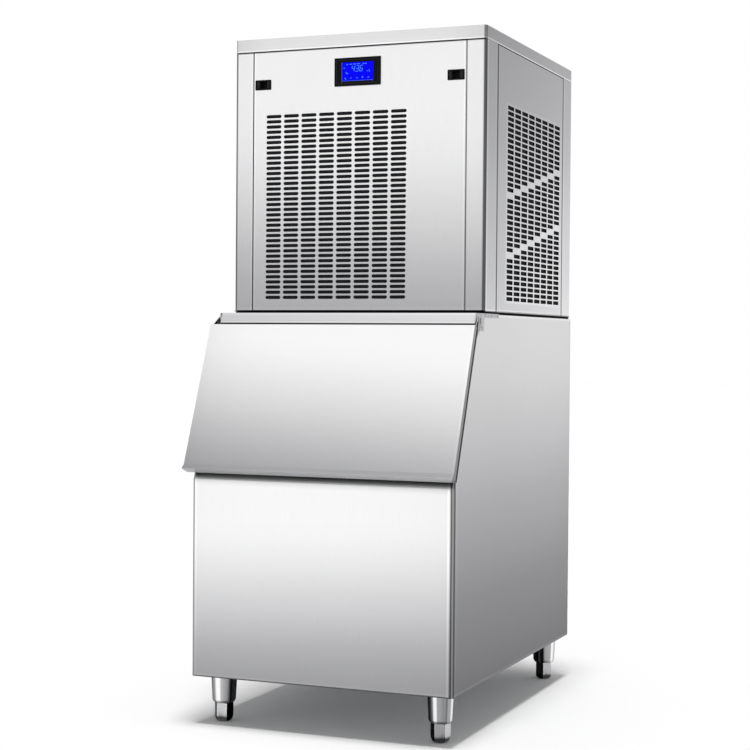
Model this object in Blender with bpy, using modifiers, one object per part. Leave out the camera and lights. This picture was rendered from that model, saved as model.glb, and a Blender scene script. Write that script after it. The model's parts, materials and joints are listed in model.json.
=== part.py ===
"""Granular ice machine: an ice-making head standing on an insulated storage bin.

Metres, +Z up. The front faces -Y. The origin is on the floor, at the middle of the whole
machine's footprint. The head holds the refrigeration set, the fan and the auger that scrapes
and presses the ice. The ice falls through a chute into the bin, behind a slanted lid.
"""
from math import cos, pi, radians, sin

import bmesh
import bpy
from mathutils import Matrix, Vector

# Driving sizes of the bin
bin_width = 0.560
bin_depth = 0.800
bin_low = 0.0977
bin_height = 0.7365
wall_foam = 0.036
liner_wall = 0.0025
liner_reach = 0.021
sheet = 0.0012
fold = 0.014
panel_edge = 0.0035
flush = 0.0002
front_lip = 0.040
floor_fold = 0.025

# Driving sizes of the curb over the lid and of the strip under the head
curb_depth = 0.0230
curb_low = 0.0120
curb_leg = 0.050
curb_reach = 0.020
strip_height = 0.0052
strip_width = 0.014
strip_inset = 0.002

# Driving sizes of the head
head_inset = 0.002
head_depth = 0.6234
head_height = 0.5704
cap_height = 0.0261
base_plate = 0.0015
post_front_width = 0.041
post_side_front = 0.073
post_side_rear = 0.071
panel_gap = 0.0015
corner_radius = 0.005

# Driving sizes of the lid, measured down its slope and back from its outer face
lid_slope = radians(22.0)
lid_length = 0.3157
lid_drop = 0.0226
lid_stand_out = 0.029
lid_lip = 0.006
lid_lip_length = 0.011
lid_overhang = 0.0083
lid_flange = 0.020
lid_inner_inset = 0.0065
lid_inner_start = 0.034
lid_inner_end = 0.004
lid_inner_depth = 0.028
lid_gasket_inset = 0.012
lid_gasket_end = 0.0157
gasket_width = 0.012
throat_depth = 0.0363

# Driving sizes of the lid's hinge
pivot_down = -0.0229
pivot_depth = 0.0339
ear_radius = 0.009
ear_thickness = 0.0014
ear_foot = 0.030
ear_lap = 0.004
pin_radius = 0.003
pin_clearance = 0.0004
stud_collar = 0.006
stud_head = 0.0055
bracket_thickness = 0.003
bracket_front = 0.0086
bracket_drop = 0.020
bracket_body = 0.030
bracket_strap = 0.125
strap_height = 0.008
bracket_top_gap = 0.0039

# Driving sizes of the grilles
slot_length = 0.0346
slot_share = 0.612
slot_rows = 36
slot_columns = 8
front_slot_pitch = 0.0400
front_slot_left = 0.0720
grille_low = 0.0263
grille_top = 0.1296
side_slot_length = 0.0400
side_slot_pitch = 0.0492
side_slot_front = 0.142
side_grille_low = 0.0316
side_blank_rows = (16, 27)

# Driving sizes of the legs and feet
leg_inset = 0.0442
leg_front = 0.0570
leg_rear = 0.0428
leg_top_radius = 0.0270
leg_low_radius = 0.0230
leg_collar = 0.006
leg_chamfer = 0.006
foot_height = 0.0420
foot_radius = 0.0203
foot_flat = 0.0182
foot_edge = 0.005
foot_stem_radius = 0.0125
foot_stem = 0.030
stem_clearance = 0.0005

# Driving sizes of the controls
controller_width = 0.102
controller_height = 0.058
controller_drop = 0.0527
controller_rim = 0.004
controller_rise = 0.0025
controller_depth = 0.026
display_width = 0.071
display_height = 0.039
display_sunk = 0.0015
latch_inset = 0.0640
latch_drop = 0.0702
latch_width = 0.036
latch_height = 0.021
latch_rim = 0.003
latch_rise = 0.0018
latch_depth = 0.013
latch_floor = 0.002
latch_bar = 0.0065
latch_block = 0.0075

# Driving sizes of the ice maker
auger_inset = 0.113
auger_back = 0.16712
auger_radius = 0.0300
auger_shaft = 0.0110
auger_pitch = 0.045
auger_turns = 4
auger_steps = 8
flight_edge = 0.002
flight_root = 0.004
barrel_bore = 0.0316
barrel_radius = 0.0460
barrel_flange = 0.009
barrel_height = 0.235
gear_height = 0.0903
gear_half = 0.048
gear_boss = 0.010
gear_can_radius = 0.038
gear_can_length = 0.100
gear_can_lap = 0.002
press_height = 0.042
press_radius = 0.042
press_ports = 4
port_radius = 0.0065
shaft_clearance = 0.0005
chute_wall = 0.002
chute_width = 0.100
chute_front = 0.058
hood_height = 0.085
drop_start = 0.095
drop_length = 0.095

# Driving sizes of the cooling set
fan_inset = 0.223
fan_radius = 0.125
fan_blades = 4
fan_hub = 0.028
fan_shaft = 0.0040
motor_radius = 0.040
motor_length = 0.062
motor_back = 0.075
fan_reach = 0.080
strap_reach = 0.185
strap_half = 0.012
strap_thickness = 0.002
condenser_half = 0.150
condenser_clear = 0.008
condenser_thickness = 0.040
condenser_foot = 0.030
condenser_height = 0.370
condenser_fins = 12
fin_thickness = 0.006
shroud_depth = 0.045
compressor_inset = 0.158
compressor_back = 0.457
compressor_radius = 0.074
compressor_height = 0.205
compressor_foot = 0.011
drier_inset = 0.228
drier_back = 0.507
drier_radius = 0.018
drier_length = 0.130
drier_up = 0.1206
discharge_radius = 0.004
liquid_radius = 0.003
suction_radius = 0.005
pipe_bend = 0.010
suction_bend = 0.015
pipe_out = 0.012
suction_inset = 0.190

# Driving sizes of the water side, the control box and the fittings
reservoir_width = 0.130
reservoir_depth = 0.075
reservoir_height = 0.085
reservoir_up = 0.225
reservoir_inset = 0.028
reservoir_wall = 0.003
stand_width = 0.034
stand_foot = 0.025
float_half = 0.004
float_length = 0.045
float_pin = 0.003
float_drop = 0.015
box_width = 0.125
box_depth = 0.140
box_height = 0.170
box_inset = 0.023
box_back = 0.0363
rear_reach = 0.022
drain_radius = 0.013
drain_wall = 0.003
drain_up = 0.060
inlet_radius = 0.0132
inlet_bore = 0.006
inlet_flange = 0.019
inlet_inset = 0.088
inlet_seat = 0.010
gland_radius = 0.010
gland_flange = 0.015
service_up = 0.080

# Gaps between pieces
gap = 0.0003
hole_room = 0.0008
foam_room = 0.004
cut_length = 0.020

# Rounded edges
cast_edge = 0.006
moulded_edge = 0.004
lid_edge = 0.003
housing_edge = 0.0015
cup_edge = 0.001
slider_edge = 0.0008

# Places that follow from the driving sizes
bin_top = bin_low + bin_height
head_low = bin_top + strip_height
total_height = head_low + head_height
cap_low = total_height - cap_height
head_rise = cap_low - head_low
lid_reach = lid_stand_out + lid_lip * cos(lid_slope)
bin_front = lid_reach - (bin_depth + lid_reach + rear_reach) / 2
bin_rear = bin_front + bin_depth
head_front = bin_rear - head_depth
bin_half = bin_width / 2
head_half = bin_half - head_inset
head_floor = head_low + base_plate + gap
lid_half_width = bin_half + lid_overhang
lid_top_y = bin_front - lid_stand_out + lid_length * sin(lid_slope)
lid_top_z = bin_top - lid_drop
curb_back = head_front + curb_reach
drain_z = bin_low + drain_up
slot_pitch = (head_rise - grille_low - grille_top) / slot_rows
slot_height = slot_pitch * slot_share
service_z = head_low + service_up

# Places of the controls
controller_middle = cap_low - controller_drop
body_half = controller_width / 2 - controller_rim
body_rise = controller_height / 2 - controller_rim
latch_x = head_half - latch_inset
latch_z = cap_low - latch_drop
latch_body_half = latch_width / 2 - latch_rim / 2
latch_body_rise = latch_height / 2 - latch_rim / 2
recess_half = latch_width / 2 - latch_rim
recess_rise = latch_height / 2 - latch_rim

# Places inside the head
auger_x = head_half - auger_inset
auger_y = head_front + auger_back
barrel_low = head_floor + gear_height + gear_boss - 2 * gap
press_low = barrel_low + barrel_height + gap
press_bore = auger_shaft + shaft_clearance
drop_front = auger_y + drop_start
drop_rear = drop_front + drop_length
fan_x = -head_half + fan_inset
condenser_front = head_front + fold + condenser_clear
condenser_low = head_low + condenser_foot
condenser_high = condenser_low + condenser_height
fan_z = (condenser_low + condenser_high) / 2
condenser_right = fan_x + condenser_half
pipe_x = condenser_right + pipe_out
pipe_y = condenser_front + condenser_thickness * 0.75
compressor_x = -head_half + compressor_inset
compressor_y = head_front + compressor_back
drier_x = head_half - drier_inset
drier_y = head_front + drier_back
suction_x = head_half - suction_inset
reservoir_right = head_half - reservoir_inset
reservoir_left = reservoir_right - reservoir_width
reservoir_front = head_front + fold + condenser_clear
reservoir_low = head_low + reservoir_up
inlet_x = head_half - inlet_inset
gland_x = -inlet_x

PARTS = bpy.data.collections.new("granular_ice_machine")
CUTTERS = bpy.data.collections.new("cutters")
FINISHES = {}


def clear_scene():
    """Start from an empty scene."""
    for thing in list(bpy.data.objects):
        bpy.data.objects.remove(thing, do_unlink=True)
    bpy.context.scene.collection.children.link(PARTS)
    bpy.context.scene.collection.children.link(CUTTERS)


def finish(name, colour, roughness, metallic=0.0):
    """A Principled material with the part's colour, roughness and metallic value."""
    material = bpy.data.materials.new(name)
    material.use_nodes = True
    shader = material.node_tree.nodes["Principled BSDF"]
    shader.inputs["Base Color"].default_value = (*colour, 1.0)
    shader.inputs["Roughness"].default_value = roughness
    shader.inputs["Metallic"].default_value = metallic
    FINISHES[name] = material


def add(name, bm, finish_name, origin=(0, 0, 0), turn=(0, 0, 0), parent=None):
    """Make a named object from bm, whose points are measured from origin and turned by turn."""
    mesh = bpy.data.meshes.new(name)
    bm.to_mesh(mesh)
    bm.free()
    thing = bpy.data.objects.new(name, mesh)
    thing.rotation_euler = turn
    thing.location = origin
    if parent:
        thing.parent = parent
        thing.location = Vector(origin) - parent.location
    if finish_name:
        mesh.materials.append(FINISHES[finish_name])
        PARTS.objects.link(thing)
    else:
        thing.hide_render = True
        thing.display_type = "WIRE"
        CUTTERS.objects.link(thing)
    return thing


def pivot(name, place, turn=(0, 0, 0)):
    """An empty on a joint's axis, which the moving pieces hang on."""
    empty = bpy.data.objects.new(name, None)
    empty.location = place
    empty.rotation_euler = turn
    empty.empty_display_size = 0.05
    PARTS.objects.link(empty)
    return empty


def smooth(thing):
    """Shade a round piece smooth, with its sharp edges kept."""
    thing.data.shade_smooth()
    thing.data.set_sharp_from_angle(angle=radians(35))
    return thing


def bevel(thing, width, segments=1, angle=radians(40)):
    """Round the edges that are sharper than angle."""
    rounding = thing.modifiers.new("rounded_edges", "BEVEL")
    rounding.width = width
    rounding.segments = segments
    rounding.limit_method = "ANGLE"
    rounding.angle_limit = angle
    return thing


def combine(thing, other, operation):
    """Cut other from thing, or join it on, with an exact Boolean."""
    step = thing.modifiers.new(operation.lower() + "_" + other.name, "BOOLEAN")
    step.object = other
    step.operation = operation
    step.solver = "EXACT"
    return thing


def solidify(thing, thickness, inward=True):
    """Give an open sheet its thickness, behind its outer face."""
    wall = thing.modifiers.new("sheet", "SOLIDIFY")
    wall.thickness = thickness
    wall.offset = -1.0 if inward else 1.0
    wall.use_even_offset = True
    wall.use_quality_normals = True
    return thing


def box_mesh(x, y, z, centre=(0, 0, 0)):
    """The mesh of a box between pairs of x, y and z, measured from centre."""
    bm = bmesh.new()
    spans = (x, y, z)
    middle = [(a + b) / 2 - c for (a, b), c in zip(spans, centre)]
    size = [b - a for a, b in spans]
    place = Matrix.Translation(middle) @ Matrix.Diagonal((*size, 1))
    bmesh.ops.create_cube(bm, size=1, matrix=place)
    return bm


def block(name, finish_name, x, y, z, edge=0.0, parent=None):
    """A box with its origin at its middle, and its edges rounded by edge."""
    centre = [(a + b) / 2 for a, b in (x, y, z)]
    thing = add(name, box_mesh(x, y, z, centre), finish_name, centre, parent=parent)
    if edge:
        bevel(thing, edge)
    return thing


def rod(name, finish_name, centre, axis, radius, length, sides=16, parent=None, spin=0.0):
    """A cylinder about centre, along X, Y or Z."""
    bm = bmesh.new()
    bmesh.ops.create_cone(bm, cap_ends=True, segments=sides, radius1=radius, radius2=radius, depth=length,
                          matrix=Matrix.Rotation(spin, 4, "Z"))
    return smooth(add(name, bm, finish_name, centre, axis_turn(axis), parent))


def drill(thing, name, place, radius, length, sides=12):
    """Cut a hole along Y for a fitting of this radius, with a little room round it."""
    tool = rod(name + "_cutter", None, place, "Y", radius + hole_room, length, sides)
    return combine(thing, tool, "DIFFERENCE")


def axis_turn(axis):
    """The turn that takes +Z to an axis named X, Y or Z, with a minus sign for its other way."""
    turns = {"Z": (0, 0, 0), "-Z": (pi, 0, 0), "X": (0, pi / 2, 0), "-X": (0, -pi / 2, 0),
             "Y": (-pi / 2, 0, 0), "-Y": (pi / 2, 0, 0)}
    return turns[axis]


def turned(name, finish_name, profile, place, axis="Z", steps=16, closed=False, parent=None):
    """A turned piece: profile is (radius, height) down its outer side, about an axis at place."""
    bm = bmesh.new()
    points = [bm.verts.new((radius, 0, height)) for radius, height in profile]
    for first, second in zip(points, points[1:]):
        bm.edges.new((first, second))
    if closed:
        bm.edges.new((points[-1], points[0]))
    thing = add(name, bm, finish_name, place, axis_turn(axis), parent)
    screw = thing.modifiers.new("turned", "SCREW")
    screw.steps = steps
    screw.render_steps = steps
    screw.use_merge_vertices = True
    screw.merge_threshold = 0.00001
    screw.use_smooth_shade = False
    return thing


def rounded(points, corners, radius, steps=3):
    """A path with the corners at the given places in it replaced by arcs."""
    path = []
    for place, point in enumerate(points):
        if place not in corners:
            path.append(Vector(point))
            continue
        here = Vector(point)
        back = (Vector(points[place - 1]) - here).normalized()
        ahead = (Vector(points[(place + 1) % len(points)]) - here).normalized()
        half = back.angle(ahead) / 2
        centre = here + (back + ahead).normalized() * radius / sin(half)
        start = here + back * radius / (sin(half) / cos(half))
        end = here + ahead * radius / (sin(half) / cos(half))
        for step in range(steps + 1):
            middle = start.lerp(end, step / steps) - centre
            path.append(centre + middle.normalized() * radius)
    return path


def face_along(bm, place, direction):
    """Make a sheet's faces agree, with the face nearest to place looking along direction."""
    bmesh.ops.recalc_face_normals(bm, faces=bm.faces)
    bm.normal_update()
    nearest = min(bm.faces, key=lambda face: (face.calc_center_median() - Vector(place)).length)
    if nearest.normal.dot(Vector(direction)) < 0:
        bmesh.ops.reverse_faces(bm, faces=bm.faces)


def strip(name, finish_name, path, sweep, thickness, inward=True, parent=None, origin=(0, 0, 0),
          turn=(0, 0, 0)):
    """A folded strip: an open path of 3-D points swept along one vector, with a thickness."""
    bm = bmesh.new()
    points = [bm.verts.new(point) for point in path]
    edges = [bm.edges.new(pair) for pair in zip(points, points[1:])]
    swept = bmesh.ops.extrude_edge_only(bm, edges=edges)
    moved = [item for item in swept["geom"] if isinstance(item, bmesh.types.BMVert)]
    bmesh.ops.translate(bm, verts=moved, vec=sweep)
    bmesh.ops.recalc_face_normals(bm, faces=bm.faces)
    return solidify(add(name, bm, finish_name, origin, turn, parent), thickness, inward)


def pan(name, finish_name, outline, depth, thickness, folded=None, parent=None, origin=(0, 0, 0)):
    """A folded panel: a flat face with flanges turned back by the vector depth along some edges."""
    bm = bmesh.new()
    points = [bm.verts.new(Vector(point) - Vector(origin)) for point in outline]
    face = bm.faces.new(points)
    sides = [loop.edge for loop in face.loops]
    if folded is not None:
        sides = [sides[place] for place in folded]
    turned_back = bmesh.ops.extrude_edge_only(bm, edges=sides)
    moved = [item for item in turned_back["geom"] if isinstance(item, bmesh.types.BMVert)]
    bmesh.ops.translate(bm, verts=moved, vec=depth)
    bmesh.ops.recalc_face_normals(bm, faces=bm.faces)
    bm.normal_update()
    if face.normal.dot(Vector(depth)) > 0:
        bmesh.ops.reverse_faces(bm, faces=bm.faces)
    return solidify(add(name, bm, finish_name, origin, parent=parent), thickness)


def prism(name, finish_name, outline, sweep, parent=None, origin=(0, 0, 0), turn=(0, 0, 0)):
    """A solid made by sweeping a closed outline of 3-D points along one vector."""
    bm = bmesh.new()
    face = bm.faces.new([bm.verts.new(point) for point in outline])
    swept = bmesh.ops.extrude_face_region(bm, geom=[face], use_keep_orig=True)
    moved = [item for item in swept["geom"] if isinstance(item, bmesh.types.BMVert)]
    bmesh.ops.translate(bm, verts=moved, vec=sweep)
    bmesh.ops.recalc_face_normals(bm, faces=bm.faces)
    return add(name, bm, finish_name, origin, turn, parent)


def pipe(name, finish_name, route, radius, bend, sides=1):
    """A bent tube along a route with rounded corners, as a curve with a round bevel."""
    path = rounded(route, range(1, len(route) - 1), bend, steps=2)
    curve = bpy.data.curves.new(name, "CURVE")
    curve.dimensions = "3D"
    curve.bevel_depth = radius
    curve.bevel_resolution = sides
    curve.use_fill_caps = True
    line = curve.splines.new("POLY")
    line.points.add(len(path) - 1)
    for point, place in zip(line.points, path):
        point.co = (*place, 1.0)
    curve.materials.append(FINISHES[finish_name])
    tube = bpy.data.objects.new(name, curve)
    PARTS.objects.link(tube)
    return tube


def on_lid(down, depth):
    """The (y, z) of a point this far down the closed lid and this far behind its outer face."""
    y = lid_top_y - down * sin(lid_slope) + depth * cos(lid_slope)
    z = lid_top_z - down * cos(lid_slope) - depth * sin(lid_slope)
    return y, z


def throat_z(depth, y):
    """The height at which the slanted plane at this depth behind the lid's face passes y."""
    down = (lid_top_y + depth * cos(lid_slope) - y) / sin(lid_slope)
    return on_lid(down, depth)[1]


def throat_y(depth, z):
    """The y at which the slanted plane at this depth behind the lid's face passes height z."""
    down = (lid_top_z - depth * sin(lid_slope) - z) / cos(lid_slope)
    return on_lid(down, depth)[0]


def bin_outline(front, rear, low, top, depth):
    """The (y, z) outline of the bin's side, slanted at this depth behind the lid's face."""
    return [(front, low), (front, throat_z(depth, front)), (throat_y(depth, top), top), (rear, top),
            (rear, low)]


def bin_prism(name, finish_name, outline, half):
    """A solid of this (y, z) outline, as wide as half to each side."""
    return prism(name, finish_name, [(-half, *point) for point in outline], (2 * half, 0, 0))


def make_finishes():
    """The finishes that the pieces are made in."""
    finish("brushed_stainless", (0.62, 0.62, 0.63), 0.32, 1.0)
    finish("polished_stainless", (0.68, 0.68, 0.69), 0.18, 1.0)
    finish("galvanised_sheet", (0.55, 0.57, 0.58), 0.5, 1.0)
    finish("black_plastic", (0.012, 0.012, 0.013), 0.4)
    finish("blue_display", (0.0, 0.01, 0.9), 0.15)
    finish("black_enamel", (0.02, 0.02, 0.022), 0.35)
    finish("aluminium_fins", (0.6, 0.62, 0.63), 0.45, 1.0)
    finish("copper_tube", (0.72, 0.33, 0.17), 0.3, 1.0)
    finish("cast_alloy", (0.45, 0.46, 0.47), 0.5, 1.0)
    finish("white_plastic", (0.78, 0.79, 0.78), 0.45)
    finish("grey_plastic", (0.25, 0.26, 0.27), 0.5)
    finish("foam", (0.75, 0.62, 0.35), 0.9)
    finish("black_rubber", (0.015, 0.015, 0.015), 0.8)


def make_head_shell():
    """The head's base plate, corner posts, panels and folded cap."""
    drop_x = chute_width / 2 - chute_wall - gap
    base = block("head_base", "brushed_stainless", (-head_half, head_half), (head_front, bin_rear),
                 (head_low, head_low + base_plate))
    drop = block("ice_drop_cutter", None, (auger_x - drop_x, auger_x + drop_x), (drop_front, drop_rear),
                 (head_low - base_plate, head_low + 2 * base_plate))
    combine(base, drop, "DIFFERENCE")

    for side_name, sx in (("left", -1), ("right", 1)):
        for end_name, sy, face_y, side_width in (("front", 1, head_front, post_side_front),
                                                 ("rear", -1, bin_rear, post_side_rear)):
            corner = Vector((sx * head_half, face_y, head_floor))
            path = [corner + Vector((-sx * post_front_width, sy * fold, 0)),
                    corner + Vector((-sx * post_front_width, 0, 0)),
                    corner,
                    corner + Vector((0, sy * side_width, 0)),
                    corner + Vector((-sx * fold, sy * side_width, 0))]
            path = rounded(path, [2], corner_radius)
            strip(f"post_{end_name}_{side_name}", "brushed_stainless", path,
                  (0, 0, cap_low - gap - head_floor), sheet)

    low = head_floor
    high = cap_low - panel_gap
    half = head_half - post_front_width - panel_gap
    front = pan("front_panel", "brushed_stainless",
                [(-half, head_front, low), (half, head_front, low),
                 (half, head_front, high), (-half, head_front, high)],
                (0, fold, 0), sheet)
    combine(front, front_slots(), "DIFFERENCE")
    window = block("controller_cutter", None, (-body_half - gap, body_half + gap),
                   (head_front - fold, head_front + fold / 2),
                   (controller_middle - body_rise - gap, controller_middle + body_rise + gap))
    combine(front, window, "DIFFERENCE")
    for sx in (-1, 1):
        hole = block("latch_cutter_left" if sx < 0 else "latch_cutter_right", None,
                     (sx * latch_x - latch_body_half - gap, sx * latch_x + latch_body_half + gap),
                     (head_front - fold, head_front + fold / 2),
                     (latch_z - latch_body_rise - gap, latch_z + latch_body_rise + gap))
        combine(front, hole, "DIFFERENCE")

    side_front = head_front + post_side_front + panel_gap
    side_rear = bin_rear - post_side_rear - panel_gap
    for side_name, sx in (("left", -1), ("right", 1)):
        x = sx * head_half
        outline = [(x, side_front, low), (x, side_rear, low), (x, side_rear, high), (x, side_front, high)]
        side = pan("side_panel_" + side_name, "brushed_stainless", outline, (-sx * fold, 0, 0), sheet)
        if sx > 0:
            combine(side, side_slots(), "DIFFERENCE")

    rear = pan("rear_panel", "brushed_stainless",
               [(half, bin_rear, low), (-half, bin_rear, low), (-half, bin_rear, high),
                (half, bin_rear, high)],
               (0, -fold, 0), sheet)
    drill(rear, "inlet_hole", (inlet_x, bin_rear, service_z), inlet_radius, cut_length)
    drill(rear, "gland_hole", (gland_x, bin_rear, service_z), gland_radius, cut_length, 10)

    outline = [(-head_half, head_front, 0), (head_half, head_front, 0),
               (head_half, bin_rear, 0), (-head_half, bin_rear, 0)]
    outline = [point + Vector((0, 0, total_height)) for point in rounded(outline, range(4), corner_radius)]
    pan("top_cap", "brushed_stainless", outline, (0, 0, -cap_height), sheet)


def front_slots():
    """Cutters for the front grille: straight columns of level slots."""
    bm = bmesh.new()
    for column in range(slot_columns):
        for row in range(slot_rows):
            x = -head_half + front_slot_left + column * front_slot_pitch
            z = head_low + grille_low + row * slot_pitch
            add_slot(bm, (x, x + slot_length), (head_front - sheet, head_front + 2 * sheet),
                     (z, z + slot_height))
    return add("front_slot_cutter", bm, None)


def side_slots():
    """Cutters for the side grille, with two rising lines of slots left unpunched."""
    bm = bmesh.new()
    for column in range(slot_columns):
        for row in range(slot_rows):
            if row + column in side_blank_rows:
                continue
            y = head_front + side_slot_front + column * side_slot_pitch
            z = head_low + side_grille_low + (slot_rows - 1 - row) * slot_pitch
            add_slot(bm, (head_half - 2 * sheet, head_half + sheet), (y, y + side_slot_length),
                     (z, z + slot_height))
    return add("side_slot_cutter", bm, None)


def add_slot(bm, x, y, z):
    """Add one box to a mesh of cutters."""
    middle = [(a + b) / 2 for a, b in (x, y, z)]
    size = [b - a for a, b in (x, y, z)]
    bmesh.ops.create_cube(bm, size=1, matrix=Matrix.Translation(middle) @ Matrix.Diagonal((*size, 1)))


def make_controls():
    """The controller in its window, and the two slide latches that hold the front panel."""
    half = controller_width / 2
    rise = controller_height / 2
    housing = block("controller_housing", "black_plastic", (-half, half),
                    (head_front - controller_rise, head_front - gap),
                    (controller_middle - rise, controller_middle + rise), edge=housing_edge)
    body = block("controller_body_joiner", None, (-body_half, body_half),
                 (head_front - sheet, head_front + controller_depth),
                 (controller_middle - body_rise, controller_middle + body_rise))
    combine(housing, body, "UNION")
    window = block("display_window_cutter", None, (-display_width / 2, display_width / 2),
                   (head_front - fold, head_front + controller_rim),
                   (controller_middle - display_height / 2, controller_middle + display_height / 2))
    combine(housing, window, "DIFFERENCE")
    block("controller_display", "blue_display", (-display_width / 2 + gap, display_width / 2 - gap),
          (head_front - display_sunk, head_front + controller_rim - gap),
          (controller_middle - display_height / 2 + gap, controller_middle + display_height / 2 - gap))

    for side_name, sx in (("left", -1), ("right", 1)):
        x = sx * latch_x
        cup = block("latch_cup_" + side_name, "black_plastic", (x - latch_width / 2, x + latch_width / 2),
                    (head_front - latch_rise, head_front - gap),
                    (latch_z - latch_height / 2, latch_z + latch_height / 2), edge=cup_edge)
        body = block("latch_body_joiner_" + side_name, None, (x - latch_body_half, x + latch_body_half),
                     (head_front - sheet, head_front + latch_depth),
                     (latch_z - latch_body_rise, latch_z + latch_body_rise))
        combine(cup, body, "UNION")
        outer = x + sx * recess_half
        inner = x - sx * (recess_half - latch_block)
        recess = block("latch_recess_cutter_" + side_name, None, sorted((inner, outer)),
                       (head_front - fold, head_front + latch_depth - latch_floor),
                       (latch_z - recess_rise, latch_z + recess_rise))
        combine(cup, recess, "DIFFERENCE")
        slide = pivot("latch_axis_" + side_name, (x, head_front, latch_z))
        block("latch_slider_" + side_name, "grey_plastic",
              sorted((outer - sx * gap, outer - sx * latch_bar)),
              (head_front - sheet, head_front + latch_depth - latch_floor - gap),
              (latch_z - recess_rise + gap, latch_z + recess_rise - gap), edge=slider_edge, parent=slide)


def make_cooling_set():
    """The compressor, the condenser with its fan, and the filter drier."""
    wide = compressor_radius
    high = compressor_height
    profile = [(0, high), (0.40 * wide, 0.99 * high), (0.80 * wide, 0.92 * high), (wide, 0.76 * high),
               (wide, 0.25 * high), (0.88 * wide, 0.14 * high), (0, 0.10 * high)]
    can = turned("compressor", "black_enamel", profile, (compressor_x, compressor_y, head_floor), steps=12)
    plate = block("compressor_plate_joiner", None, (compressor_x - 1.15 * wide, compressor_x + 1.15 * wide),
                  (compressor_y - 0.81 * wide, compressor_y + 0.81 * wide),
                  (head_floor + 0.09 * high, head_floor + 0.14 * high))
    combine(can, plate, "UNION")
    for sx in (-1, 1):
        for sy in (-1, 1):
            foot = rod(f"compressor_foot_joiner_{sx}_{sy}", None,
                       (compressor_x + sx * 0.94 * wide, compressor_y + sy * 0.61 * wide,
                        head_floor + 0.05 * high),
                       "Z", compressor_foot, 0.10 * high, 6)
            combine(can, foot, "UNION")

    left = fan_x - condenser_half
    right = condenser_right
    spine = condenser_front + 0.4 * condenser_thickness
    fins = []
    pitch = (right - left) / condenser_fins
    for count in range(condenser_fins):
        x = left + count * pitch
        fins += [(x, condenser_front), (x + fin_thickness, condenser_front), (x + fin_thickness, spine)]
        if count < condenser_fins - 1:
            fins.append((x + pitch, spine))
        else:
            fins.append((right, spine))
    outline = [(x, y, condenser_low) for x, y in fins]
    outline += [(right, condenser_front + condenser_thickness, condenser_low),
                (left, condenser_front + condenser_thickness, condenser_low)]
    prism("condenser", "aluminium_fins", outline, (0, 0, condenser_high - condenser_low))
    rest = [(left, condenser_front), (right, condenser_front),
            (right, condenser_front + condenser_thickness + shroud_depth),
            (left, condenser_front + condenser_thickness + shroud_depth)]
    pan("condenser_rest", "galvanised_sheet", [(*point, condenser_low - gap) for point in rest],
        (0, 0, head_floor - condenser_low + gap), sheet)

    back = condenser_front + condenser_thickness + gap
    shroud = pan("fan_shroud", "galvanised_sheet",
                 [(right, back + shroud_depth, condenser_low), (left, back + shroud_depth, condenser_low),
                  (left, back + shroud_depth, condenser_high), (right, back + shroud_depth, condenser_high)],
                 (0, -shroud_depth, 0), sheet)
    mouth = rod("fan_mouth_cutter", None, (fan_x, back + shroud_depth, fan_z), "Y", 1.065 * fan_radius,
                cut_length, 16)
    combine(shroud, mouth, "DIFFERENCE")
    make_fan(back + shroud_depth)


def make_fan(mouth_y):
    """The fan motor on its strap, and the blades on the motor's shaft."""
    shaft_end = fan_reach + fan_hub / 3
    profile = [(0, shaft_end), (fan_shaft, shaft_end), (fan_shaft, motor_length),
               (0.85 * motor_radius, 0.9 * motor_length),
               (motor_radius, 0.73 * motor_length), (motor_radius, 0), (0, 0)]
    back_y = mouth_y + motor_back
    motor = turned("fan_motor", "cast_alloy", profile, (fan_x, back_y, fan_z), "-Y", steps=10)
    x = fan_x - strap_half
    near = mouth_y + gap
    far = back_y - strap_thickness
    path = [(x, near, fan_z - 0.89 * strap_reach), (x, near, fan_z - 0.76 * strap_reach),
            (x, far, fan_z - 1.25 * motor_radius), (x, far, fan_z + 1.25 * motor_radius),
            (x, near, fan_z + 0.76 * strap_reach), (x, near, fan_z + 0.89 * strap_reach)]
    strap = strip("fan_strap_joiner", None, path, (2 * strap_half, 0, 0), strap_thickness)
    combine(motor, strap, "UNION")

    spin = pivot("fan_axis", (fan_x, back_y - fan_reach, fan_z))
    bore = fan_shaft + shaft_clearance
    rise = 0.43 * fan_hub
    hub = turned("fan_blade", "galvanised_sheet",
                 [(fan_hub, rise), (fan_hub, -rise), (bore, -rise), (bore, rise)],
                 spin.location, "-Y", steps=10, closed=True, parent=spin)
    for blade in range(fan_blades):
        wing = add(f"fan_wing_joiner_{blade}", wing_mesh(), None, spin.location,
                   (0, blade * 2 * pi / fan_blades, 0), spin)
        solidify(wing, 1.3 * sheet)
        combine(hub, wing, "UNION")


def wing_mesh():
    """One fan blade: a plate from the hub to the tip, pitched more at its root."""
    bm = bmesh.new()
    rows = []
    for share, chord, tilt in ((0.16, 0.13, 38), (0.60, 0.27, 28), (1.00, 0.32, 20)):
        radius = share * fan_radius
        along = Vector((cos(radians(tilt)), sin(radians(tilt)), 0)) * chord * fan_radius
        rows.append([Vector((0, 0, radius)) - along, Vector((0, 0, radius)) + along])
    points = [[bm.verts.new(point) for point in row] for row in rows]
    for first, second in zip(points, points[1:]):
        bm.faces.new((first[0], first[1], second[1], second[0]))
    return bm


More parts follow.
